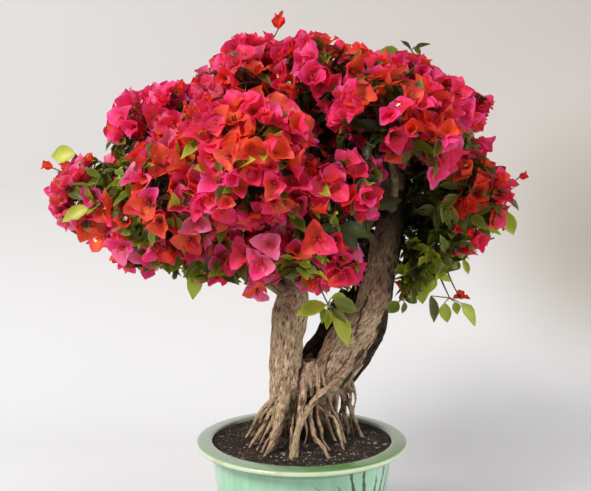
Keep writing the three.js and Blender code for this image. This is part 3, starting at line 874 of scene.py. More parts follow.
def leafOn(name, place, outward, greens, draw, size=1.0):
    # one leaf, turned again up to four times if it would leave the crown
    length = between(spray["leaf"], draw() ** 1.2) * size
    face = unit(np.array([0, 0, 0.75]) + outward * 0.85 + randomUnit(draw) * 0.6)
    for trial in range(4):
        along = unit(outward * 0.6 + randomUnit(draw) * 0.9 + np.array([0, 0, -0.35]))
        if allowed(name, place + along * length, 0):
            addLeaf(place, along, face, length, oneOf(greens, draw), draw)
            counts["leaves"] += 1
            return
        length *= 0.9


def growShoot(name, start, direction, length, draw, colours, greens, bloomShare):
    # a side shoot with leaves, and a bloom or two at its end
    size = between(spray["bract"], draw())
    end = start + direction * length
    across, down, scale = seenAt(end)
    if end[1] < spray["frontUpTo"]:
        for patch in patches:
            if within(across, down, patch):
                bloomShare = patch[2]
                break
    hollowShade = any(within(across, down, h) for h in hollows)
    blooms = draw() < (spray["hollowBloom"] if hollowShade else bloomShare)
    room = size * spray["bloomRoom"] if blooms else spray["leafRoom"]
    while length > spray["shortest"] and not allowed(name, end, room):
        length *= 0.85
        end = start + direction * length
    if not allowed(name, end, size * spray["leastBloomRoom"] if blooms else spray["leastLeafRoom"]):
        return
    line = bentTwig(start, end, 0.06, draw, 3)
    out = outness(name, end)
    green = out > 0.5 and draw() < spray["greenShare"]
    addLimb("twigs", "greenTwig" if green else "twig", line, [1.0, 0.9, 0.8, 0.7], 4)
    outward = unit((end - middles[name]) * squash)
    if hollowShade or (out < spray["shadeWithin"] and insideCrown(end, spray["shadeDepth"])):
        # few blooms open in the crown's shade, and its blooms and leaves are painted in darker shade colours
        blooms = blooms and draw() < spray["shadeBloom"]
        colours, greens = ["deepRed", "crimson"], ["shadeLeaf", "darkLeaf"]
    for i in range(1, 3):
        if draw() < spray["leafBesideBloom" if blooms else "leafOnBare"]:
            leafOn(name, line[i], outward, greens, draw, 0.85 if blooms else 1.0)
    if not blooms:
        leafOn(name, end, outward, greens, draw)
        if draw() < spray["endLeaf"]:
            leafOn(name, end, outward, greens, draw, 0.7)
        return
    facing = unit(outward + randomUnit(draw) * 0.85 + np.array([0, 0, 0.1]))
    colour, partner = oneOf(colours, draw), oneOf(colours, draw)
    addBloom(end, facing, size, 0.14 + 0.58 * draw(), colour, partner, draw)
    counts["blooms"] += 1
    if draw() < spray["second"]:
        aside = unit(np.cross(facing, randomUnit(draw)))
        second = end + aside * 14 - facing * 6
        if not allowed(name, second, size * 0.55):
            return
        addLimb("twigs", "greenTwig", [line[2], (line[2] + second) / 2, second], [0.7, 0.6, 0.5], 4)
        addBloom(second, unit(facing + aside * 0.8), size * 0.8, 0.15 + 0.5 * draw(), partner, colour, draw)
        counts["blooms"] += 1


# main twigs spread evenly through each mass, with side shoots along them and one at the tip
for order, name in enumerate(massNames):
    mass, route = masses[name], routes[name]
    draw = seeded(700 + order * 37)
    colours, bloomShare, greens = dress[name]
    colours, greens = colours.split(), greens.split()
    steps = spray["mainSteps"]
    mains = round(spray["mains"] * (mass["reach"] / spray["usualReach"]) ** spray["crowding"])
    for k in range(mains):
        direction = evenDirection(k, mains, mass["reach"])
        out = mass["reach"] * (spray["tipLeast"] + spray["tipMore"] * draw()) - spray["tipGap"]
        tip = drawnIn(name, direction, out, 3)
        share = route["entry"] + (1 - route["entry"]) * (0.15 + 0.85 * draw())
        start = pointAt(route["curve"], share)
        for trial in range(12):
            if insideCrown(tip, 4):
                break
            tip = tip + (start - tip) * 0.12
        line = bentTwig(start, tip, 0.05, draw, steps)
        addLimb("twigs", "twig", line, taperedRadii(spray["thick"], spray["thin"], steps), 5)
        away = unit(tip - start)
        for j in range(spray["sideShoots"]):
            t = 0.3 + 0.7 * (j + draw() * 0.8) / spray["sideShoots"]
            place = min(t, 0.999) * steps
            i = int(place)
            spot = line[i] + (line[i + 1] - line[i]) * (place - i)
            outward = unit((spot - middles[name]) * squash)
            turn = k * 1.9 + j * goldenAngle
            side = unit(np.cross(away, (0.2, 0.3, 1)))
            over = np.cross(side, away)
            lean = side * math.cos(turn) + over * math.sin(turn)
            direction = unit(away * 0.45 + lean * 0.85 + outward * 0.55 + np.array([0, 0, 0.1]))
            length = between(spray["shootLength"], draw())
            growShoot(name, spot, direction, length, draw, colours, greens, bloomShare)
        growShoot(name, line[-1], unit(away + randomUnit(draw) * 0.3), 14, draw, colours, greens, bloomShare)

print("stage: sprays that stand out")

# a spray grows from its mass to a heart; leaves run from the heart or a point of their own to their tips
sprays = [
    {"mass": "front_low", "heart": (328, 304, -112), "leaves": [
        ((326, 305), (293, 313), -120, "brightLeaf", 1.15), ((323, 307), (322, 324), -126, "midLeaf", 1.1),
        ((327, 309), (329, 331), -120, "brightLeaf", 1.1), ((333, 314), (355, 347), -122, "brightLeaf", 1.25),
        ((334, 302), (361, 311), -108, "midLeaf", 1.35), ((331, 298), (350, 296), -104, "brightLeaf", 1.2),
        ((334, 309), (346, 322), -130, "oliveLeaf", 1.1)]},
    {"mass": "left_tip", "heart": (76, 154, -36), "leaves": [((76, 154), (47, 155), -38, "youngLeaf", 1.5)]},
    {"mass": "left_tip", "heart": (80, 172, -34), "leaves": [((83, 172), (76, 166), -32, "midLeaf", 1.2)]},
    {"mass": "left_tip", "heart": (92, 205, -84), "leaves": [
        ((90, 207), (57, 221), -92, "youngLeaf", 1.0), ((92, 202), (86, 185), -94, "brightLeaf", 1.2),
        ((104, 199), (128, 196), -96, "youngLeaf", 1.1), ((96, 208), (104, 222), -94, "brightLeaf", 1.1),
        ((112, 184), (131, 180), -98, "midLeaf", 1.2), ((100, 176), (84, 168), -90, "midLeaf", 1.2)]},
    {"mass": "left_low", "heart": (195, 270, -66), "leaves": [
        ((195, 270), (193, 302), -72, "youngLeaf", 1.2), ((212, 258), (212, 281), -74, "brightLeaf", 1.1),
        ((190, 266), (181, 272), -70, "youngLeaf", 1.6), ((199, 258), (193, 272), -78, "midLeaf", 1.2)]},
    {"mass": "top_right", "heart": (410, 51, -10), "leaves": [
        ((410, 51), (400, 40), -12, "darkLeaf", 0.8), ((414, 49), (430, 45), -10, "darkLeaf", 0.9),
        ((414, 48), (420, 57), -14, "oliveLeaf", 1.5)]},
    {"mass": "top_right", "heart": (400, 59, -8), "leaves": [((400, 58), (376, 50), -10, "midLeaf", 1.5)]},
    {"mass": "right", "heart": (500, 212, -22), "leaves": [
        ((505, 211), (515, 239), -20, "brightLeaf", 1.2), ((508, 200), (523, 210), -16, "oliveLeaf", 1.0),
        ((486, 227), (502, 235), -28, "youngLeaf", 1.2)]},
    {"mass": "right", "heart": (478, 184, -30), "leaves": [((480, 180), (492, 196), -34, "midLeaf", 1.2)]},
    {"mass": "right_low", "heart": (430, 272, -44), "leaves": [
        ((419, 269), (422, 308), -52, "brightLeaf", 1.5), ((408, 270), (394, 270), -50, "brightLeaf", 1.9),
        ((446, 250), (423, 267), -48, "youngLeaf", 1.2), ((438, 273), (452, 282), -46, "youngLeaf", 1.3),
        ((434, 275), (430, 295), -44, "youngLeaf", 1.3), ((449, 240), (454, 258), -50, "youngLeaf", 0.9)]},
    {"mass": "right_low", "heart": (450, 298, -34), "leaves": [
        ((431, 296), (438, 326), -38, "oliveLeaf", 0.9), ((445, 303), (447, 326), -36, "youngLeaf", 1.4),
        ((455, 302), (458, 315), -34, "brightLeaf", 1.9), ((461, 303), (480, 328), -32, "youngLeaf", 1.05)]},
    {"mass": "right_low", "heart": (462, 258, -30), "leaves": [
        ((463, 259), (471, 277), -28, "brightLeaf", 0.9)]},
    {"mass": "right_low", "heart": (402, 300, -24), "leaves": [
        ((399, 302), (387, 314), -26, "midLeaf", 1.9), ((405, 302), (403, 315), -24, "midLeaf", 1.2),
        ((409, 298), (419, 303), -22, "oliveLeaf", 1.8)]},
]
# blooms seen here in the photograph: mass, place, depth, bract length, openness, colours, facing
featured = [
    ("top", (279, 30), -12, 25, 0.05, "scarlet coral", (-0.05, 0, 1)),
    ("left_tip", (53, 168), -34, 17, 0.08, "coral scarlet", (-0.9, -0.2, 0.5)),
    ("left_tip", (68, 171), -36, 17, 0.1, "coral scarlet", (-0.2, -0.3, 0.9)),
    ("left_tip", (92, 163), -40, 20, 0.2, "coral scarlet", (-0.5, -0.5, 0.8)),
    ("left_tip", (75, 194), -56, 29, 0.75, "rose magenta", (-0.5, -0.9, 0.05)),
    ("left_tip", (84, 218), -60, 26, 0.6, "rose magenta", (-0.4, -0.7, -0.5)),
    ("left_tip", (112, 214), -84, 26, 0.5, "coral scarlet", (-0.1, -0.9, 0.1)),
    ("left_mid", (124, 246), -120, 29, 0.7, "rose magenta", (-0.3, -0.9, -0.4)),
    ("left_mid", (104, 236), -104, 25, 0.6, "rose coral", (-0.5, -0.8, -0.4)),
    ("left_low", (146, 252), -100, 28, 0.7, "rose magenta", (0, -0.9, -0.4)),
    ("left_mid", (190, 238), -150, 29, 0.6, "coral scarlet", (0.1, -0.9, -0.3)),
    ("left_mid", (184, 203), -168, 28, 0.7, "magenta hotPink", (0, -0.9, 0.3)),
    ("front_centre", (222, 194), -190, 26, 0.6, "scarlet coral", (0, -1, 0.1)),
    ("front_centre", (266, 174), -206, 29, 0.7, "hotPink magenta", (0.2, -1, 0.2)),
    ("front_centre", (236, 160), -204, 28, 0.65, "hotPink coral", (-0.2, -1, 0.2)),
    ("front_centre", (283, 133), -180, 28, 0.7, "magenta hotPink", (0.2, -0.9, 0.5)),
    ("front_low", (268, 246), -162, 27, 0.6, "rose magenta", (0.2, -0.9, 0.2)),
    ("left_shelf", (126, 121), -70, 28, 0.7, "magenta hotPink", (-0.5, -0.8, 0.3)),
    ("left_shelf", (180, 125), -80, 31, 0.7, "hotPink magenta", (-0.1, -0.9, 0.3)),
    ("front_mid", (330, 186), -196, 33, 0.8, "hotPink coral", (0.1, -1, 0.1)),
    ("front_mid", (318, 238), -190, 31, 0.7, "hotPink scarlet", (-0.1, -0.9, -0.2)),
    ("front_mid", (343, 272), -150, 29, 0.6, "hotPink coral", (0.2, -0.9, -0.4)),
    ("front_low", (311, 279), -120, 22, 0.35, "coral coral", (0.1, -0.9, 0.1)),
    ("front_low", (262, 262), -150, 30, 0.75, "magenta rose", (-0.1, -0.9, -0.2)),
    ("front_low", (246, 254), -140, 28, 0.6, "hotPink rose", (-0.4, -0.8, 0.1)),
    ("front_low", (257, 288), -120, 25, 0.55, "coral rose", (0.1, -0.7, -0.7)),
    ("front_right", (408, 128), -150, 33, 0.75, "hotPink rose", (0.1, -0.95, 0.25)),
    ("top_front", (312, 84), -130, 32, 0.7, "magenta hotPink", (0, -0.9, 0.4)),
    ("front_right", (362, 104), -160, 29, 0.6, "coral scarlet", (0, -0.9, 0.4)),
    ("top", (248, 62), -60, 30, 0.7, "hotPink magenta", (-0.4, -0.7, 0.6)),
    ("top_right", (421, 72), -30, 25, 0.05, "scarlet coral", (0.05, -0.1, 1)),
    ("right", (488, 212), -40, 33, 0.35, "scarlet hotPink", (0.5, -0.8, -0.4)),
    ("right", (519, 177), -14, 13, 0.05, "scarlet crimson", (0.9, 0, 0.2)),
    ("right", (480, 104), -10, 22, 0.45, "hotPink crimson", (0.9, -0.4, 0.2)),
    ("right_low", (457, 226), -60, 14, 0.1, "crimson scarlet", (0, -0.6, -0.5)),
    ("right_low", (467, 231), -56, 15, 0.1, "crimson scarlet", (0.3, -0.6, -0.3)),
    ("right_low", (480, 237), -36, 15, 0.08, "crimson scarlet", (0.6, -0.5, -0.2)),
    ("right_low", (463, 252), -50, 14, 0.1, "scarlet crimson", (0.1, -0.7, 0.3)),
    ("right_low", (461, 299), -34, 15, 0.7, "scarlet crimson", (0, -0.4, 0.9)),
]


def carriedFrom(name, point):
    # the nearest place on the mass's own stem
    route = routes[name]
    shares = [route["entry"] + (1 - route["entry"]) * i / 20 for i in range(21)]
    spots = [pointAt(route["curve"], s) for s in shares]
    return min(spots, key=lambda s: np.linalg.norm(s - point))


def growTo(name, point, draw, thick=1.6):
    # a twig from the mass's stem to the point
    start = carriedFrom(name, point)
    line = bentTwig(start, point, -0.04, draw, 7)
    addLimb("twigs", "twig", line, taperedRadii(thick, 0.8, 7), 5)


stalkRadii = [0.9, 0.8, 0.7, 0.6]
for order, group in enumerate(sprays):
    draw = seeded(9100 + order)
    heart = placeAt(*group["heart"])
    growTo(group["mass"], heart, draw)
    for (x1, y1), (x2, y2), depth, green, wide in group["leaves"]:
        foot, tip = placeAt(x1, y1, group["heart"][2]), placeAt(x2, y2, depth)
        if np.linalg.norm(foot - heart) > 2:
            addLimb("twigs", "greenTwig", bentTwig(heart, foot, 0.05, draw, 3), stalkRadii, 4)
        along = tip - foot
        face = np.array([0.9 * (draw() - 0.5), -1, 0.3 + 0.5 * (draw() - 0.3)])
        length = np.linalg.norm(along)
        addSheet("leaves", oneOf(leafShapes, draw), green, foot, along, face, length, wide * 0.86)

for order, (name, (x, y), depth, size, openness, pair, facing) in enumerate(featured):
    draw = seeded(9500 + order)
    base = placeAt(x, y, depth)
    colour, partner = pair.split()
    growTo(name, base, draw, 1.3)
    addBloom(base, np.array(facing, float), size * 0.86, openness * 0.9, colour, partner, draw)

# near-black leaves, painted shade, fill in under the crown beside the trunk
draw = seeded(77)
paintedShadeHearts = [(404, 222, 22), (412, 230, 18), (420, 226, 30), (409, 240, 26), (418, 238, 14), (428, 222, 24),
               (356, 238, 60), (362, 228, 56), (350, 246, 62), (374, 214, 50), (400, 230, 34)]
for x, y, depth in paintedShadeHearts:
    heart = placeAt(x, y, depth)
    growTo("right_low" if x > 380 else "back_low", heart, draw, 1.2)
    for i in range(5):
        along = unit(randomUnit(draw) + np.array([0, -0.2, -0.4]))
        face = unit(np.array([0, -1, 0.5]) + randomUnit(draw) * 0.5)
        addLeaf(heart, along, face, 26 + 8 * draw(), "shadeLeaf", draw)

# a bare twig on the right, and the cut end of a bough under the left of the crown
draw = seeded(33)
bareStart, bareEnd = placeAt(426, 275, -40), placeAt(494, 238, -20)
growTo("right_low", bareStart, draw, 2.6)
bareTwig = bentTwig(bareStart, bareEnd, 0.02, draw, 6)
addLimb("twigs", "twig", bareTwig, [2.0, 1.9, 1.7, 1.6, 1.5, 1.4, 1.3], 6)
stubEnd = placeAt(174, 278, -60)
stubStart = carriedFrom("left_low", stubEnd)
stub = bentTwig(stubStart, stubEnd, -0.06, draw, 6)
addLimb("boughs", "boughBark", stub, taperedRadii(4.4, 3.2, 6), 8)

print("blooms", counts["blooms"], "leaves", counts["leaves"])

massNodes = ["foliage_" + n for n in massNames]
boughNodes = ["bough_" + n for n in massNames]


def makePiece(name, heap, material, nodes, uvName=None, smooth=True):
    # one mesh of everything in a heap, riding on the root
    tidySelection()
    mesh = bpy.data.meshes.new(name)
    points = np.concatenate(heap.points) * mm
    mesh.from_pydata(points.tolist(), [], heap.faces)
    if uvName:
        layer = mesh.uv_layers.new(name=uvName)
        corner = np.empty(len(mesh.loops), dtype=np.int32)
        mesh.loops.foreach_get("vertex_index", corner)
        layer.data.foreach_set("uv", np.concatenate(heap.uvs)[corner].ravel())
    mesh.materials.append(material)
    mesh.polygons.foreach_set("use_smooth", [smooth] * len(mesh.polygons))
    mesh.update()
    piece = link(bpy.data.objects.new(name, mesh))
    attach(piece, "root")
    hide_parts(*nodes)
    print(name, len(mesh.polygons), "faces")


print("stage: pot")

pot = {
    "footRadius": 87, "neckRadius": 120.4, "bodyHeight": 180, "wall": 9,
    "drainRadius": 6, "drainAway": 44, "drainTurns": (30, 150, 270), "drillMiddle": 6, "drillLength": 30,
    "steps": 144, "smoothAngle": 40,
    "underRim": 0.178, "aboveFoot": 0.01, "handSwell": 0.00016, "handRipple": 0.00012, "handSink": 0.0003,
}
wallHeights = [26, 38, 50, 64, 78, 92, 106, 120, 134, 148, 162]


def wallRadius(height):
    share = height / pot["bodyHeight"]
    swell = 0.45 * share + 0.55 * math.sin(share * math.pi / 2)
    return pot["footRadius"] + (pot["neckRadius"] - pot["footRadius"]) * swell


def potProfile():
    # the section as (radius, height), from the middle of the underside round to the inner floor
    outer = [(wallRadius(h), h) for h in [14] + wallHeights + [172, 179]]
    inner = [(r - pot["wall"], h) for r, h in reversed(outer)]
    foot = [(0, 0), (80, 0), (82.5, 0.4), (84.5, 1.6), (85.3, 3.4), (85, 7)]
    rim = [(122.6, 181.2), (129, 182.4), (134.6, 183.9), (138.6, 185.2), (140.6, 186.9), (141.3, 188.9),
           (140.8, 190.7), (139.2, 191.9), (136.5, 192.5), (131, 192.9), (124.6, 193.2), (121.4, 192.9),
           (119.9, 191.8), (119.3, 189.8), (118.6, 186), (115, 180)]
    return foot + outer + rim + inner[1:-1] + [(wallRadius(16) - pot["wall"] - 2, 13.4), (60, 12), (0, 12)]


def drawProfile(name, profile):
    # one vertex is drawn out along the profile, as by hand
    tidySelection()
    bpy.ops.mesh.primitive_plane_add(size=0.002, location=(profile[0][0] * mm, 0, profile[0][1] * mm))
    drawn = bpy.context.object
    drawn.name = name
    bpy.ops.object.transform_apply(location=True, rotation=True, scale=True)
    bpy.ops.object.mode_set(mode="EDIT")
    bpy.ops.mesh.select_all(action="SELECT")
    bpy.ops.mesh.merge(type="CENTER")
    for before, after in zip(profile, profile[1:]):
        step = ((after[0] - before[0]) * mm, 0, (after[1] - before[1]) * mm)
        bpy.ops.mesh.extrude_region_move(TRANSFORM_OT_translate={"value": step})
    return drawn


def turnProfile(steps):
    bpy.ops.mesh.select_all(action="SELECT")
    bpy.ops.mesh.spin(steps=steps, angle=2 * math.pi, center=(0, 0, 0), axis=(0, 0, 1))
    bpy.ops.mesh.select_all(action="SELECT")
    bpy.ops.mesh.remove_doubles(threshold=0.00005)
    bpy.ops.mesh.normals_make_consistent(inside=False)
    bpy.ops.object.mode_set(mode="OBJECT")


def applyModifiers(piece):
    choose(piece)
    for modifier in list(piece.modifiers):
        bpy.ops.object.modifier_apply(modifier=modifier.name)


def addPot():
    piece = drawProfile("glazedPot", potProfile())
    turnProfile(pot["steps"])
    for turn in pot["drainTurns"]:
        tidySelection()
        a, away = math.radians(turn), pot["drainAway"]
        place = (math.cos(a) * away * mm, math.sin(a) * away * mm, pot["drillMiddle"] * mm)
        radius, depth = pot["drainRadius"] * mm, pot["drillLength"] * mm
        bpy.ops.mesh.primitive_cylinder_add(vertices=32, radius=radius, depth=depth, location=place)
        drill = bpy.context.object
        bpy.ops.object.transform_apply(location=True)
        cut = piece.modifiers.new("drain", "BOOLEAN")
        cut.operation = "DIFFERENCE"
        cut.solver = "EXACT"
        cut.object = drill
        applyModifiers(piece)
        bpy.data.objects.remove(drill)
    # the wall keeps faint upright waves from the maker's hands
    for v in piece.data.vertices:
        flat = math.hypot(v.co.x, v.co.y)
        if flat < 0.07 or v.co.z < pot["aboveFoot"] or v.co.z > pot["underRim"]:
            continue
        turn = math.atan2(v.co.y, v.co.x)
        wave = pot["handSwell"] * math.sin(9 * turn + 0.6)
        wave += pot["handRipple"] * math.sin(31 * turn + 40 * v.co.z)
        grow = 1 + (wave - pot["handSink"]) / flat
        v.co.x *= grow
        v.co.y *= grow
    choose(piece)
    bpy.ops.object.shade_smooth_by_angle(angle=math.radians(pot["smoothAngle"]))
    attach(piece, "root")
    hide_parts("pot")
    return piece


glaze = {
    "rimFrom": 0.1815, "edge": (0.1921, 0.1912), "edgeFrom": 0.13, "under": (0.1876, 0.1858),
    "groove": 0.1795, "inner": (0.1202, 0.1194), "foot": (0.0035, 0.0015),
}
brush = {
    "turn": 0.74, "base": 0.085, "below": 0.045, "blades": 58, "length": 0.15, "spread": 0.4,
    "away": 0.113, "wallFrom": 0.088, "upTo": 0.179,
}


def brushMask(web, coords, turn, radius, z):
    # two loosely brushed tufts of grass, on opposite sides
    sway = web.minus(web.noise(coords, 30, 3), 0.5)
    half = web.math("WRAP", web.plus(turn, brush["turn"]), math.pi / 2, -math.pi / 2)
    around = web.times(half, brush["away"])
    above = web.minus(z, brush["base"] - brush["below"])
    lean = web.plus(web.math("ARCTAN2", around, above), web.times(sway, 0.16))
    lean = web.plus(lean, web.times(web.times(lean, above), -2.2))
    length = web.math("SQRT", web.plus(web.times(around, around), web.times(above, above)))
    blade = web.math("SINE", web.times(lean, brush["blades"]))
    second = web.math("SINE", web.plus(web.times(lean, brush["blades"] * 0.37), 1.1))
    taper = web.span(web.plus(length, web.times(second, 0.016)), 0.02, brush["length"], -0.6, 1.0)
    dryBrush = web.times(web.noise(coords, 320, 3), 0.3)
    inked = web.span(web.minus(web.plus(blade, dryBrush), taper), 0.12, 0.3)
    spread = web.math("LESS_THAN", web.math("ABSOLUTE", lean), brush["spread"])
    risen = web.math("GREATER_THAN", above, web.plus(web.times(second, 0.008), brush["below"]))
    outside = web.times(web.math("GREATER_THAN", radius, brush["wallFrom"]),
                        web.math("LESS_THAN", z, brush["upTo"]))
    return web.times(web.times(web.times(web.times(inked, spread), risen), outside), 0.9)


def celadonMaterial():
    # pale green glaze, thin and creamy on the rim's edge with a painted highlight there, and dark in the groove
    # under it, partly pooled glaze and partly painted shadow
    material, web, shader = newMaterial("celadonGlaze")
    coords = web.objectPlace()
    x, y, z = web.split(coords)
    radius = web.vector("LENGTH", {0: web.join(x, y)})["Value"]
    broad, cloud, speck = web.noise(coords, 14, 3), web.noise(coords, 60, 5), web.noise(coords, 900, 2)
    body = web.ramp(broad, (0.3, linear(142, 191, 156)), (0.5, linear(150, 198, 165)),
                    (0.72, linear(160, 204, 174)))
    body = web.mix(web.times(cloud, 0.22), body, linear(134, 186, 142))
    # glaze runs thinner, and paler, in soft upright bands of uneven width
    unrolled = web.join(web.math("DIVIDE", x, radius), web.math("DIVIDE", y, radius), web.times(z, 1.6))
    bands = web.ramp(web.noise(unrolled, 9, 3, 0.5), (0.42, grey(0)), (0.66, grey(0.4)))
    body = web.mix(bands, body, linear(180, 217, 193))
    # the rim's top is a greyer green at the left and behind, partly painted reflection, and a deeper one in
    # front, and thins to cream at its outer turn
    top = web.math("GREATER_THAN", z, glaze["rimFrom"])
    rimSide = web.plus(web.plus(web.times(x, 3.0), web.times(broad, 0.4)), 0.28)
    rim = web.ramp(rimSide, (0.05, linear(150, 162, 144)), (0.32, linear(130, 166, 130)),
                   (0.56, linear(88, 138, 76)), (0.74, linear(92, 132, 72)), (0.92, linear(102, 116, 90)))
    rim = web.mix(web.times(web.span(y, -0.05, 0.05), 0.7), rim, linear(146, 160, 140))
    # tea-brown stains lie here and there on the rim
    stain = web.ramp(web.noise(coords, 26, 4, 0.6), (0.56, grey(0)), (0.68, grey(0.55)))
    rim = web.mix(web.times(stain, 0.6), rim, linear(150, 146, 98))
    # partly painted highlight: the rim's outer turn is painted a pale cream where the glaze thins
    edge = web.times(web.span(z, *glaze["edge"]), web.math("GREATER_THAN", radius, glaze["edgeFrom"]))
    rim = web.mix(edge, rim, web.mix(stain, linear(196, 212, 176), linear(176, 160, 116)))
    # painted shade: the rim's underside is painted a darker green
    rim = web.mix(web.span(z, *glaze["under"]), rim, linear(92, 132, 92))
    colour = web.mix(top, body, rim)
    # partly painted shadow: the groove under the rim is painted dark, over glaze pooled there
    fromGroove = web.math("ABSOLUTE", web.minus(z, glaze["groove"]))
    colour = web.mix(web.times(web.span(fromGroove, 0.0042, 0.0008), 0.6), colour, linear(78, 116, 80))
    # a dark line runs round the rim's inner face
    innerLipDark = web.times(web.span(radius, *glaze["inner"]), top)
    colour = web.mix(web.times(innerLipDark, 0.8), colour, linear(52, 56, 40))
    # bare buff clay under the foot, iron specks in the glaze, and the brush's dark olive slip
    foot = web.span(z, *glaze["foot"])
    colour = web.mix(foot, colour, linear(176, 150, 118))
    specks = web.times(web.math("GREATER_THAN", speck, 0.72), 0.35)
    colour = web.mix(specks, colour, linear(96, 110, 70))
    slip = brushMask(web, coords, web.math("ARCTAN2", y, x), radius, z)
    colour = web.mix(slip, colour, linear(44, 40, 22))
    rough = web.mix(foot, web.ramp(cloud, (0.3, grey(0.12)), (0.7, grey(0.24))), grey(0.85))
    web.fill(shader, {"Base Color": colour, "Roughness": rough, "Normal": web.bump(cloud, 0.0005, 0.35),
                      "Coat Weight": 0.35, "Coat Roughness": 0.06})
    return material


addPot().data.materials.append(celadonMaterial())

print("stage: soil")

soil = {
    "fromHeight": 12.3, "clearance": 0.39, "grains": 5200, "grainsWithin": 117.5, "rings": 46, "around": 150,
    "radius": 118.8, "height": 187.2, "edgeRise": 1.6, "mound": 3.0, "moundMiddle": 12,
    "moundReach": (60, 40), "sink": 1.1, "edgeAt": 118.5, "edgeOver": 5, "paleBefore": -55,
}
# cell, height and seed of the waves in its surface
soilWaves = [(24, 1.5, 3), (7, 1.0, 4), (2.6, 0.8, 5)]


def vertexVectors(piece, kind):
    values = np.empty(len(piece.data.vertices) * 3)
    piece.data.vertices.foreach_get(kind, values)
    return values.reshape(-1, 3)


def addSoil():
    low, high, rings = soil["fromHeight"], soil["height"], soil["rings"]
    profile = [(0, low), (70, low)]
    profile += [(wallRadius(h) - pot["wall"] - soil["clearance"], h) for h in wallHeights]
    profile += [(109.8, 172), (113.6, 179), (117.2, 184.6)]
    profile += [(soil["radius"] * (1 - i / rings), high) for i in range(rings)] + [(0, high)]
    piece = drawProfile("pottingSoil", profile)
    turnProfile(soil["around"])
    points = vertexVectors(piece, "co") / mm
    top = points[:, 2] > high - 0.7
    rise = sum(height * smoothNoise(points / cell, seed) for cell, height, seed in soilWaves)
    wide, deep = soil["moundReach"]
    away = (points[:, 0] - soil["moundMiddle"]) ** 2 / wide ** 2 + points[:, 1] ** 2 / deep ** 2
    rise += soil["mound"] * np.exp(-away) - soil["sink"]
    reach = np.linalg.norm(points[:, :2], axis=1)
    inside = np.clip((soil["edgeAt"] - reach) / soil["edgeOver"], 0, 1)
    points[:, 2] += np.where(top, rise * inside + soil["edgeRise"] * (1 - inside), 0)
    piece.data.vertices.foreach_set("co", (points * mm).ravel())
    piece.data.materials.append(earthMaterial("pottingSoil", (16, 12, 9), (48, 38, 31)))
    choose(piece)
    bpy.ops.object.shade_smooth()
    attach(piece, "root")
    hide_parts("soil")
    return points[top]


def earthMaterial(name, dark, light):
    # crumbs of two tones with a few paler ones
    material, web, shader = newMaterial(name)
    coords = web.objectPlace()
    crumbs, broad = web.noise(coords, 420, 8, 0.7), web.noise(coords, 40, 4)
    both = web.plus(web.times(crumbs, 0.7), web.times(broad, 0.3))
    colour = web.ramp(both, (0.36, linear(*dark)), (0.55, linear(*light)), (0.68, linear(120, 98, 78)))
    web.fill(shader, {"Roughness": 0.95, "Base Color": colour, "Normal": web.bump(crumbs, 0.0015)})
    return material


def smoothNoise(points, seed):
    # gradient noise, about -1 to 1, at each point of an array
    cell = np.floor(points).astype(np.int64)
    part = points - cell
    fade = part ** 3 * (part * (part * 6 - 15) + 10)
    total = np.zeros(len(points))
    for corner in range(8):
        offset = np.array([corner & 1, corner >> 1 & 1, corner >> 2 & 1])
        c = cell + offset
        code = (c[:, 0] * 73856093) ^ (c[:, 1] * 19349663) ^ (c[:, 2] * 83492791) ^ (seed * 668265263)
        code = (((code ^ (code >> 13)) & 0x7fffffff) * 1274126177) & 0x7fffffff
        code = code ^ (code >> 15)
        turn = (code & 0xffff) / 65535 * 2 * math.pi
        height = ((code >> 16) & 0x7fff) / 32767 * 2 - 1
        level = np.sqrt(np.maximum(1 - height * height, 0))
        gap = part - offset
        dot = gap[:, 0] * np.cos(turn) * level + gap[:, 1] * np.sin(turn) * level + gap[:, 2] * height
        weight = np.prod(np.where(offset == 1, fade, 1 - fade), axis=1)
        total += weight * dot
    return total * 1.7


soilTop = addSoil()

grainPoints = np.array([(0, 0, 1), (1, 0, 0), (0.2, 1, 0.1), (-1, 0.1, 0), (0, -1, 0), (0, 0, -1)])
grainFaces = [(0, 1, 2), (0, 2, 3), (0, 3, 4), (0, 4, 1), (5, 2, 1), (5, 3, 2), (5, 4, 3), (5, 1, 4)]


def addGrains():
    # crumbs, bark bits and a little pale grit, pressed into the soil
    draw = seeded(4242)
    for i in range(soil["grains"]):
        reach, turn = soil["grainsWithin"] * math.sqrt(draw()), draw() * 2 * math.pi
        x, y = math.cos(turn) * reach, math.sin(turn) * reach
        near = soilTop[np.argmin((soilTop[:, 0] - x) ** 2 + (soilTop[:, 1] - y) ** 2)]
        size = 1.0 + 1.3 * draw() ** 2
        centre = near + np.array([0, 0, size * 0.25])
        stretch = np.array([1 + 0.8 * draw(), 0.7 + 0.5 * draw(), 0.55 + 0.4 * draw()]) * size
        a = draw() * 2 * math.pi
        spin = np.array([[math.cos(a), -math.sin(a), 0], [math.sin(a), math.cos(a), 0], [0, 0, 1]])
        jitter = np.array([[0.75 + 0.4 * draw()] for k in range(6)])
        points = (grainPoints * jitter * stretch) @ spin.T + centre
        kind = draw()
        # more of the pale grit lies in front
        pale = 0.93 if y < soil["paleBefore"] else 0.985
        limits = {"grit": pale, "barkBit": 0.82, "paleCrumb": 0.74, "crumb": -1}
        name = next(grain for grain, limit in limits.items() if kind > limit)
        heapOf("grains", name).add(points, grainFaces)


addGrains()
materials["crumb"] = earthMaterial("crumb", (20, 15, 12), (54, 43, 35))
materials["paleCrumb"] = earthMaterial("paleCrumb", (84, 72, 62), (140, 126, 112))
for (kind, material), heap in list(heaps.items()):
    if kind == "grains":
        makePiece(material + "Grains", heap, materials[material], ["soil"], smooth=False)
        heaps.pop((kind, material))

print("stage: wood")

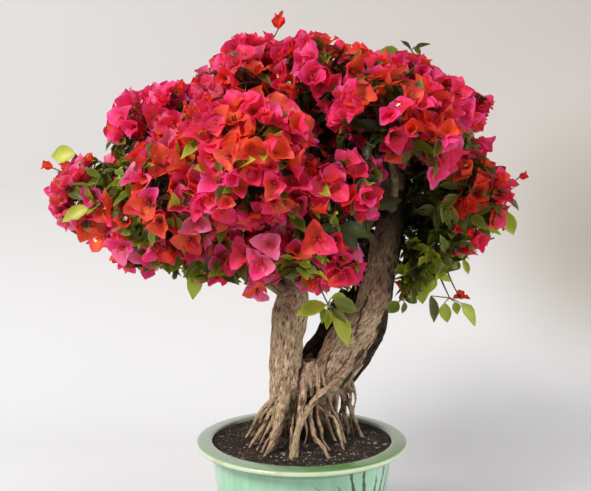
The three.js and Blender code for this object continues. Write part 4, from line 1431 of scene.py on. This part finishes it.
wood = {
    "voxel": 1.5, "smooth": 2, "samples": 30, "ridge": 0.42, "fine": 0.5, "knots": 0.7, "lumps": 2.2,
    "twist": 0.004,
    "fullness": {"left": 0.6, "main": 1.0, "back": -3.2}, "cutAt": 176.2,
    "feet": {"left": (6, 0.78), "main": (0, 0.4), "back": (0, 0.4)},
}
# settings of the shade painted on the wood
shade = {"ways": 14, "rayLength": 26, "lift": 0.8, "gain": 1.75, "start": 0.42, "most": 0.97,
         "ribReach": 24, "ribAbove": 238, "crownFrom": 390, "crownOver": 104}
# cell sizes of the noises that carve the bark, in millimetres
barkCells = {"wander": 34, "ridge": (5, 5, 15), "fine": (2.8, 2.8, 8), "lumps": (24, 24, 30), "knots": 9}
soilLevel = 187
rootMiddle = (12, 2)
waist = (46, 27)
rootFoot = 174
# turn, turn at the foot, height of the top, share of the waist, reach, thickness, swing
backRoots = [
    (172, 164, 240, 0.98, 90, 4.4, -3), (150, 146, 240, 0.9, 88, 5, 4), (128, 130, 238, 0.9, 84, 3.4, -4),
    (4, 8, 254, 0.98, 80, 2.6, -3), (52, 60, 246, 0.9, 82, 5, -4),
    (68, 74, 244, 0.9, 76, 3.2, 4), (84, 88, 244, 0.95, 80, 5.4, 3), (106, 106, 242, 0.95, 84, 4.4, -3),
]
# roots seen from the front: depth of the start, the way down in the picture's points, and the radii
frontRoots = [
    (-8, [(274, 400), (263, 410), (256, 421), (251, 431), (246, 439)], [4.6, 3.6, 3.2, 2.8, 2.2]),
    (-20, [(273, 404), (266, 414), (260, 424), (255, 432), (250, 437)], [3.4, 2.2, 1.8, 1.7, 1.5]),
    (-24, [(278, 400), (271, 412), (265, 425), (258, 436), (250, 448)], [5.6, 4.4, 3.4, 2.7, 1.9]),
    (-30, [(281, 402), (274, 416), (269, 429), (263, 440), (257, 451)], [4.4, 3.2, 2.6, 2.1, 1.6]),
    (-34, [(284, 397), (281, 412), (278, 426), (273, 440), (265, 457)], [8.6, 6.8, 5.4, 4.0, 2.4]),
    (-34, [(279, 420), (273, 434), (267, 443), (262, 453)], [4.2, 3.4, 2.6, 2.0]),
    (-32, [(282, 424), (278, 437), (274, 446), (268, 455)], [4.6, 3.6, 2.6, 1.9]),
    (-34, [(303, 390), (302, 402), (300, 416), (299, 428), (297, 444), (296, 458)],
     [5.6, 5.4, 4.6, 4.2, 3.6, 3.0]),
    (-34, [(290, 403), (295, 410), (297, 420), (297, 432)], [2.2, 2.6, 2.6, 2.4]),
    (-30, [(333, 384), (325, 391), (316, 399), (309, 409), (303, 421), (298, 432), (295, 445), (292, 459)],
     [3.2, 3.4, 3.6, 3.9, 4.2, 4.4, 4.2, 3.2]),
    (-34, [(293, 417), (292, 430), (291, 443), (290, 456)], [1.7, 1.8, 2.0, 1.8]),
    (-26, [(311, 404), (310, 418), (313, 431), (316, 441), (323, 448), (328, 459)],
     [3.6, 3.2, 3.4, 3.2, 3.0, 2.4]),
    (-24, [(317, 402), (317, 414), (319, 424), (322, 431), (322, 438), (325, 445), (330, 452)],
     [2.8, 2.4, 2.3, 2.3, 2.2, 1.9, 1.6]),
    (-22, [(319, 407), (326, 414), (334, 419), (338, 428), (341, 439), (344, 451)],
     [2.4, 2.2, 2.4, 2.3, 2.1, 1.8]),
    (-16, [(330, 404), (335, 415), (340, 424), (343, 434), (346, 445)], [3.4, 2.2, 2.0, 1.8, 1.6]),
    (-8, [(322, 408), (327, 420), (331, 432), (336, 444)], [3.4, 3.0, 2.4, 1.8]),
    (-10, [(337, 396), (336, 410), (338, 424), (337, 438)], [4.6, 3.4, 2.8, 2.2]),
    (-6, [(345, 388), (345, 402), (346, 416), (350, 434)], [3.2, 2.4, 2.6, 1.9]),
    (-8, [(350, 388), (351, 401), (350, 413), (354, 436)], [2.6, 1.7, 1.8, 1.5]),
    (-2, [(353, 386), (356, 399), (354, 413), (358, 424), (362, 439)], [2.6, 1.8, 1.8, 1.7, 1.5]),
    (-4, [(342, 394), (343, 405), (340, 416), (345, 432)], [2.2, 1.6, 1.8, 1.5]),
    (-20, [(286, 404), (289, 414), (287, 424), (286, 436)], [2.0, 1.5, 1.5, 1.4]),
    (-42, [(287, 401), (285, 416), (282, 430), (277, 446)], [3.0, 2.6, 2.2, 1.6]),
    (-41, [(282, 402), (277, 417), (273, 430), (268, 442)], [3.0, 2.4, 2.0, 1.6]),
    (-36, [(277, 405), (271, 417), (264, 430), (259, 440)], [2.4, 1.9, 1.7, 1.5]),
    (-30, [(270, 407), (263, 417), (258, 427), (254, 434)], [2.0, 1.6, 1.5, 1.4]),
    (-18, [(306, 408), (305, 420), (307, 434), (304, 448)], [2.6, 2.0, 1.8, 1.6]),
]
# short strands that fan out under the fork, and a smooth fold beside the dark wood
strands = [
    (-19, [(304, 362), (303, 374), (301, 384), (298, 392)], 2.8),
    (-20, [(308, 363), (308, 375), (306, 386), (305, 396)], 3.3),
    (-21, [(312, 362), (313, 375), (312, 386), (311, 398)], 3.0),
    (-20, [(316, 364), (318, 375), (319, 386), (318, 396)], 3.3),
    (-17, [(320, 366), (323, 376), (325, 384), (327, 391)], 3.0),
    (-8, [(362, 364), (356, 371), (349, 379), (342, 388)], 4.2),
    (-12, [(366, 352), (360, 362), (352, 372), (343, 380)], 3.4),
]
# clefts in the bark, painted dark as shade, in the picture's points, with their half width there and their
# depth
clefts = [
    ([(374, 347), (366, 358), (358, 367), (349, 378), (341, 390)], 2.2, 2.6),
    ([(303, 352), (303, 364), (300, 377), (298, 390)], 1.3, 2.0),
    ([(367, 296), (362, 310), (358, 324), (355, 336)], 1.1, 1.2),
    ([(352, 352), (346, 362), (338, 372), (331, 380)], 0.9, 1.0),
    ([(330, 352), (326, 364), (325, 377)], 0.8, 0.9),
]
# name, way, radii and relief of the rib, the shoulders and the heart of the roots
swellings = [
    ("rib", [(57, 17, 256), (69, 20, 276), (86, 20, 301), (102, 20, 328), (106, 16, 356), (104, 10, 392)],
     [9, 12, 12.5, 12, 11, 9], 0.9),
    ("shoulder", [(54, 6, 264), (67, 8, 290), (87, 9, 330), (101, 10, 372), (108, 9, 410)],
     [12, 16.5, 16, 14, 9], 1.0),
    ("leftShoulder", [(-20, -12, 318), (-14, -12, 350), (-10, -12, 378), (-8, -12, 396), (-7, -12, 403)],
     [18.5, 21.5, 22.5, 20, 13], 1.0),
    ("backShoulder", [(20, 28, 312), (34, 36, 336), (47, 43, 356), (64, 48, 384)], [8, 10, 10.5, 9], 0.7),
    ("rootHeart", [(14, 6, 170), (12, 5, 205), (12, 3, 246)], [18, 14, 20], 0.5),
]
# painted shade: the rib, the back limb, its shoulder and the heart of the roots are painted dark
paintedShadeLimbs = ("rib", "back", "backShoulder", "rootHeart")
# middle and half sizes of the swellings at the fork
burls = [((-10, -9, 262), (25, 25, 25)), ((14, 0, 268), (36, 25, 29)), ((42, 4, 272), (24, 23, 25))]


def rootPoints(turn, footTurn, top, inner, reach, swing):
    # down the flare from a waist, then out to a foot in the soil
    def at(angle, far, near, z):
        a = math.radians(angle)
        return (rootMiddle[0] + math.cos(a) * far, rootMiddle[1] + math.sin(a) * near, z)

    wide, deep = waist[0] * inner, waist[1] * inner
    rows = [at(turn, wide * 0.6, deep * 0.6, top + 8)]
    for share in (0, 0.33, 0.66, 1):
        angle = turn + (footTurn - turn) * share + swing * math.sin(share * 2 * math.pi)
        out = share ** 1.25
        far, near = wide + (reach - wide) * out, deep + (reach * 0.86 - deep) * out
        rows.append(at(angle, far, near, top + (rootFoot - top) * share))
    return rows


def seenRoot(depth, way):
    # a root along points of the picture, from its start at that depth to where it meets the soil
    first, last = way[0][1], way[-1][1]
    footDepth = (cameraZ - soilLevel) / (cameraSlope + (last - pictureMiddle[1]) / focal) + cameraY
    rows = []
    for x, y in way:
        share = ((y - first) / (last - first)) ** 1.2
        rows.append(placeAt(x, y, depth + (footDepth - depth) * share))
    ahead = rows[-1] - rows[-2]
    # it comes out of the trunk from a little higher up and deeper in
    rise = (rows[0] - rows[1]) * 0.9 + np.array([0, 7, 0])
    return [rows[0] + rise] + rows + [rows[-1] + ahead * (12 / max(-ahead[2], 4))]


limbs, woodParts = [], []


def addWood(name, points, radii, relief):
    # a tapered round limb, kept as a curve for its shape and as samples for its bark
    curve = smoothCurve(points)
    shares = [i / wood["samples"] for i in range(wood["samples"] + 1)]
    line = np.array([pointAt(curve, s) for s in shares])
    sizes = np.array([alongList(radii, s) for s in shares])
    ahead = np.gradient(line, axis=0)
    ahead /= np.linalg.norm(ahead, axis=1, keepdims=True)
    side = unit(np.cross(ahead[0], (0.13, 1, 0.2)))
    sides = []
    for a in ahead:
        side = unit(side - a * side.dot(a))
        sides.append(side)
    limbs.append({"name": name, "line": line, "sizes": sizes, "ahead": ahead, "sides": np.array(sides),
                  "along": np.array(shares) * curve["whole"], "relief": relief})
    data = bpy.data.curves.new(name, "CURVE")
    data.dimensions = "3D"
    data.bevel_depth = 1
    data.bevel_resolution = 6
    data.use_fill_caps = True
    spline = data.splines.new("POLY")
    spline.points.add(len(line) - 1)
    for point, p, r in zip(spline.points, line, sizes):
        point.co = (p[0] * mm, p[1] * mm, p[2] * mm, 1)
        point.radius = r * mm
    choose(link(bpy.data.objects.new(name, data)))
    bpy.ops.object.convert(target="MESH")
    woodParts.append(bpy.context.object)


def addTrunks():
    for name, points in stems.items():
        # each stem is drawn on down into the flare, where it thins out
        spread, thin = wood["feet"][name]
        x, y = points[0][0], points[0][1]
        low = [(x - spread, y, 224), (x - spread / 2, y, 242)] + points[1:]
        radii = [r + wood["fullness"][name] for r in stemRadii[name]]
        radii = [radii[0] * thin, radii[0] * (0.5 + thin / 2)] + radii[1:]
        addWood(name, low, radii, 1.0 if name != "back" else 0.7)
    for swelling in swellings:
        addWood(*swelling)
    draw = seeded(515)
    for turn, footTurn, top, inner, reach, thick, swing in backRoots:
        rows = rootPoints(turn, footTurn, top, inner, reach, swing)
        addWood("rootLimb", rows, [thick * (1.22 - 0.6 * s) for s in (0, 0.2, 0.45, 0.7, 1)], 0.3)
        # a thinner root springs beside each one, wandering more
        near = rootPoints(turn + 9, footTurn + 14 + 8 * draw(), top - 6 - 10 * draw(), inner * 0.94,
                          reach * (0.7 + 0.3 * draw()), -swing * 1.8)
        addWood("rootLimb", near, [2.4, 2.1, 1.8, 1.7, 1.6], 0.2)
    for depth, way, radii in frontRoots:
        addWood("frontRoot", seenRoot(depth, way), [radii[0] * 0.7] + radii + [radii[-1]], 0.5)
    for depth, way, radius in strands:
        rows = [placeAt(x, y, depth - 9 * i / (len(way) - 1)) for i, (x, y) in enumerate(way)]
        addWood("strand", rows, [radius * 0.8, radius, radius, radius * 0.7], 0.5)
    for centre, size in burls:
        tidySelection()
        bpy.ops.mesh.primitive_uv_sphere_add(segments=32, ring_count=24, radius=mm,
                                             location=[c * mm for c in centre], scale=size)
        bpy.ops.object.transform_apply(location=True, rotation=True, scale=True)
        woodParts.append(bpy.context.object)
    choose(*woodParts)
    bpy.ops.object.join()
    piece = bpy.context.object
    piece.name = "trunksAndRoots"
    bpy.ops.object.transform_apply(location=True, rotation=True, scale=True)
    remesh = piece.modifiers.new("fuse", "REMESH")
    remesh.mode = "VOXEL"
    remesh.voxel_size = wood["voxel"] * mm
    even = piece.modifiers.new("even", "SMOOTH")
    even.factor = 0.5
    even.iterations = wood["smooth"]
    applyModifiers(piece)
    return piece


def limbCoordinates(points):
    # for each point, its place in the nearest limb's own frame, how far that limb's relief counts, and
    # whether that limb is painted dark as shade
    best = np.full(len(points), farAway)
    place = np.zeros((len(points), 3))
    strength, shaded = np.zeros(len(points)), np.zeros(len(points))
    for order, limb in enumerate(limbs):
        low, high = limb["line"].min(axis=0) - 45, limb["line"].max(axis=0) + 45
        near = np.where(((points > low) & (points < high)).all(axis=1))[0]
        if len(near) == 0:
            continue
        gaps = ((points[near][:, None, :] - limb["line"][None, :, :]) ** 2).sum(axis=2)
        i = gaps.argmin(axis=1)
        away = np.sqrt(gaps[np.arange(len(near)), i]) - limb["sizes"][i]
        better = away < best[near]
        near, i, away = near[better], i[better], away[better]
        offset = points[near] - limb["line"][i]
        ahead, side = limb["ahead"][i], limb["sides"][i]
        over = np.cross(side, ahead)
        along = limb["along"][i] + (offset * ahead).sum(axis=1)
        u, v = (offset * side).sum(axis=1), (offset * over).sum(axis=1)
        twist = along * wood["twist"]
        place[near, 0] = u * np.cos(twist) - v * np.sin(twist) + order * 37
        place[near, 1] = u * np.sin(twist) + v * np.cos(twist)
        place[near, 2] = along
        best[near] = away
        strength[near] = limb["relief"]
        shaded[near] = limb["name"] in paintedShadeLimbs
    return place, strength, shaded


def enclosedShade(piece, points, normals):
    # how far each place is closed in by wood, from 0 in the open to 1, where the wood is painted dark as shade
    tree = BVHTree.FromPolygons((points * mm).tolist(), [tuple(p.vertices) for p in piece.data.polygons])
    ways = [unit(evenDirection(k, shade["ways"], 0.4) / (1, 1, flatness)) for k in range(shade["ways"])]
    closed, total = np.zeros(len(points)), np.zeros(len(points))
    for way in ways:
        faces = normals @ way
        toward = Vector(way)
        for i in np.where(faces > 0.15)[0]:
            start = Vector((points[i] + normals[i] * shade["lift"]) * mm)
            total[i] += faces[i]
            if tree.ray_cast(start, toward, shade["rayLength"] * mm)[0] is not None:
                closed[i] += faces[i]
    return closed / np.maximum(total, 0.01)


def cleftDepth(points, normals):
    # how far each place on the front lies within a cleft, from 0 to 1, and the depth it is cut to
    across, down, scale = seenAt(points.T)
    across = across + 1.2 * smoothNoise(points / 8, 31)
    inCleft, cut = np.zeros(len(points)), np.zeros(len(points))
    facing = np.clip(-normals[:, 1] * 2.5, 0, 1) * (points[:, 1] < 12)
    for way, width, deep in clefts:
        near = np.full(len(points), farAway)
        for (x1, y1), (x2, y2) in zip(way, way[1:]):
            t = ((across - x1) * (x2 - x1) + (down - y1) * (y2 - y1)) / ((x2 - x1) ** 2 + (y2 - y1) ** 2)
            t = np.clip(t, 0, 1)
            near = np.minimum(near, np.hypot(x1 + t * (x2 - x1) - across, y1 + t * (y2 - y1) - down))
        share = np.clip(1.4 - near / width, 0, 1) * facing
        inCleft = np.maximum(inCleft, share)
        cut = np.maximum(cut, share * deep)
    return inCleft, cut


def keepOnPoints(piece, name, values):
    # numbers or vectors kept on the mesh for its bark
    kind, field = ("FLOAT", "value") if values.ndim == 1 else ("FLOAT_VECTOR", "vector")
    layer = piece.data.attributes.new(name, kind, "POINT")
    layer.data.foreach_set(field, values.astype(np.float32).ravel())


def carveBark(piece):
    # the bark's relief, and what its material needs to know at each place
    points, normals = vertexVectors(piece, "co") / mm, vertexVectors(piece, "normal")
    place, strength, shaded = limbCoordinates(points)
    # painted shade: behind the trunk and above the fork, those limbs stay painted dark
    backShade = np.where((points[:, 1] > 14) & (points[:, 2] > 262), shaded, 0)
    place[:, :2] += np.stack([smoothNoise(points / barkCells["wander"], k) for k in (11, 12)], axis=1) * 5
    ridge = 1 - np.abs(smoothNoise(place / barkCells["ridge"], 21)) * 2.2
    fine = 1 - np.abs(smoothNoise(place / barkCells["fine"], 22)) * 2.2
    lumps = smoothNoise(points / barkCells["lumps"], 23)
    knots = smoothNoise(points / barkCells["knots"], 24)
    height = wood["ridge"] * (ridge - 0.55) + wood["fine"] * (fine - 0.5) + wood["knots"] * knots
    inCleft, cut = cleftDepth(points, normals)
    move = strength * height + wood["lumps"] * lumps * strength - cut
    points += normals * move[:, None]
    piece.data.vertices.foreach_set("co", (points * mm).ravel())
    # painted shade: places closed in by wood, as between the roots, are painted dark
    hollowShade = np.clip(enclosedShade(piece, points, normals) * shade["gain"] - shade["start"], 0, 1)
    relief = np.clip(0.5 + 0.3 * (ridge - 0.45) + 0.28 * (fine - 0.4) + 0.1 * knots, 0, 1)
    # painted shade: the rib is painted black on the side that looks out and down, away from the light
    line = next(limb["line"] for limb in limbs if limb["name"] == "rib")
    away = np.sqrt(((points[:, None, :] - line[None, :, :]) ** 2).sum(axis=2).min(axis=1))
    turned = np.clip(0.55 + 1.8 * (normals @ np.array([0.85, -0.42, -0.32])) + 0.25 * knots, 0, 1)
    ragged = np.clip((shade["ribReach"] - away + 5 * knots) / 4, 0, 1)
    shaded = np.where(points[:, 2] > shade["ribAbove"], turned * ragged, shaded)
    # painted shade: the clefts are painted dark
    shaded = np.maximum(np.maximum(shaded, backShade), inCleft * 0.9)
    # the crown's shade has kept the upper limbs dark
    shaded = np.maximum(shaded, np.clip((points[:, 2] - shade["crownFrom"]) / shade["crownOver"], 0, 1))
    # painted shade: every shade mark above is gathered into one amount by which the bark is painted dark
    paintedBarkShade = np.clip(np.maximum(shaded * (0.96 + 0.1 * knots), hollowShade * shade["most"]), 0, 1)
    keepOnPoints(piece, "relief", relief)
    keepOnPoints(piece, "paintedBarkShade", paintedBarkShade)
    keepOnPoints(piece, "limbPlace", place * mm)
    piece.data.update()


def barkGroup():
    # bark along a limb: pale ridges, dark crevices, lichen greys and red-brown patches
    group, web, given, end = makeGroup(
        "barkGrain",
        [("Limb Place", "Vector", None), ("Relief", "Float", 0.5),
         ("Ridge Colour", "Color", linear(196, 172, 142)), ("Bark Colour", "Color", grey(0.3)),
         ("Crevice Colour", "Color", grey(0.03)), ("Patch Colour", "Color", grey(0.2)),
         ("Lichen Colour", "Color", linear(172, 156, 112)),
         ("Grain Scale", "Float", 1.0), ("Painted Bark Shade", "Float", 0.0)],
        [("Colour", "Color"), ("Height", "Float"), ("Roughness", "Float")],
    )
    place = given["Limb Place"]
    stretched = web.vector("MULTIPLY", {0: place, 1: (1, 1, 0.19)})["Vector"]
    grain = web.vector("SCALE", {0: stretched, "Scale": given["Grain Scale"]})["Vector"]
    fibre, strand = web.noise(grain, 1050, 6, 0.68), web.noise(grain, 420, 4, 0.6)
    level = web.plus(web.times(given["Relief"], 0.26), web.times(strand, 0.4))
    level = web.plus(level, web.times(fibre, 0.52))
    low, high = web.span(level, 0.46, 0.6), web.span(level, 0.6, 0.74)
    colour = web.mix(low, given["Crevice Colour"], given["Bark Colour"])
    colour = web.mix(high, colour, given["Ridge Colour"])
    # fine cracks run along the limb and join up
    cracks = web.math("ABSOLUTE", web.minus(strand, 0.5))
    colour = web.mix(web.ramp(cracks, (0.0, grey(0.7)), (0.03, grey(0))), colour, given["Crevice Colour"])
    patchMask = web.ramp(web.noise(place, 32, 4, 0.6), (0.5, grey(0)), (0.66, grey(0.6)))
    colour = web.mix(patchMask, colour, given["Patch Colour"])
    lichen = web.ramp(web.noise(place, 21, 5, 0.62), (0.5, grey(0)), (0.62, grey(0.62)))
    colour = web.mix(web.times(lichen, web.plus(low, 0.25)), colour, given["Lichen Colour"])
    flecks = web.ramp(web.noise(place, 260, 5, 0.6), (0.6, grey(0)), (0.72, grey(0.45)))
    colour = web.mix(flecks, colour, given["Ridge Colour"])
    # painted shade: the bark is painted near black as far as its painted shade goes
    barkShadeColour = web.mix(0.965, colour, linear(10, 7, 5))
    web.fill(end, {"Colour": web.mix(given["Painted Bark Shade"], colour, barkShadeColour),
                   "Height": web.plus(web.times(strand, 0.6), web.times(fibre, 0.4)),
                   "Roughness": web.minus(0.98, web.times(high, 0.16))})
    return group


barkGrain = barkGroup()


def barkMaterial(name, ridge, bark, crevice, patch, grainScale, depth, carved):
    material, web, shader = newMaterial(name)
    values = {"Ridge Colour": linear(*ridge), "Bark Colour": linear(*bark),
              "Crevice Colour": linear(*crevice), "Patch Colour": linear(*patch), "Grain Scale": grainScale}
    if carved:
        values["Limb Place"] = web.attribute("limbPlace")["Vector"]
        values["Relief"] = web.attribute("relief")["Fac"]
        values["Painted Bark Shade"] = web.attribute("paintedBarkShade")["Fac"]
    else:
        values["Limb Place"] = web.objectPlace()
    grain = web.fill(web.add("Group", node_tree=barkGrain), values)
    web.fill(shader, {"Specular IOR Level": 0.12, "Base Color": grain["Colour"],
                      "Roughness": grain["Roughness"], "Normal": web.bump(grain["Height"], depth, 0.8)})
    return material


trunks = addTrunks()
carveBark(trunks)
trunks.data.materials.append(barkMaterial(
    "trunkBark", (226, 205, 172), (180, 150, 121), (74, 54, 39), (172, 124, 108), 1.0, 0.003, True))
materials["boughBark"] = barkMaterial(
    "boughBark", (150, 130, 104), (96, 76, 58), (40, 30, 24), (84, 62, 48), 1.3, 0.0008, False)
choose(trunks)
bpy.ops.object.mode_set(mode="EDIT")
bpy.ops.mesh.select_all(action="SELECT")
bpy.ops.mesh.bisect(plane_co=(0, 0, wood["cutAt"] * mm), plane_no=(0, 0, 1), clear_inner=True, use_fill=True)
bpy.ops.object.mode_set(mode="OBJECT")
bpy.ops.object.shade_smooth()
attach(trunks, "root")
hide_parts("root_flare", "left_trunk", "main_trunk", "back_trunk")
print("trunk faces", len(trunks.data.polygons))

print("stage: foliage and boughs")

for (kind, material), heap in heaps.items():
    nodes = boughNodes if kind == "boughs" else massNodes
    makePiece(kind + material[0].upper() + material[1:], heap, materials[material], nodes,
              uvName="sheet" if kind in ("bracts", "leaves", "stars") else None)
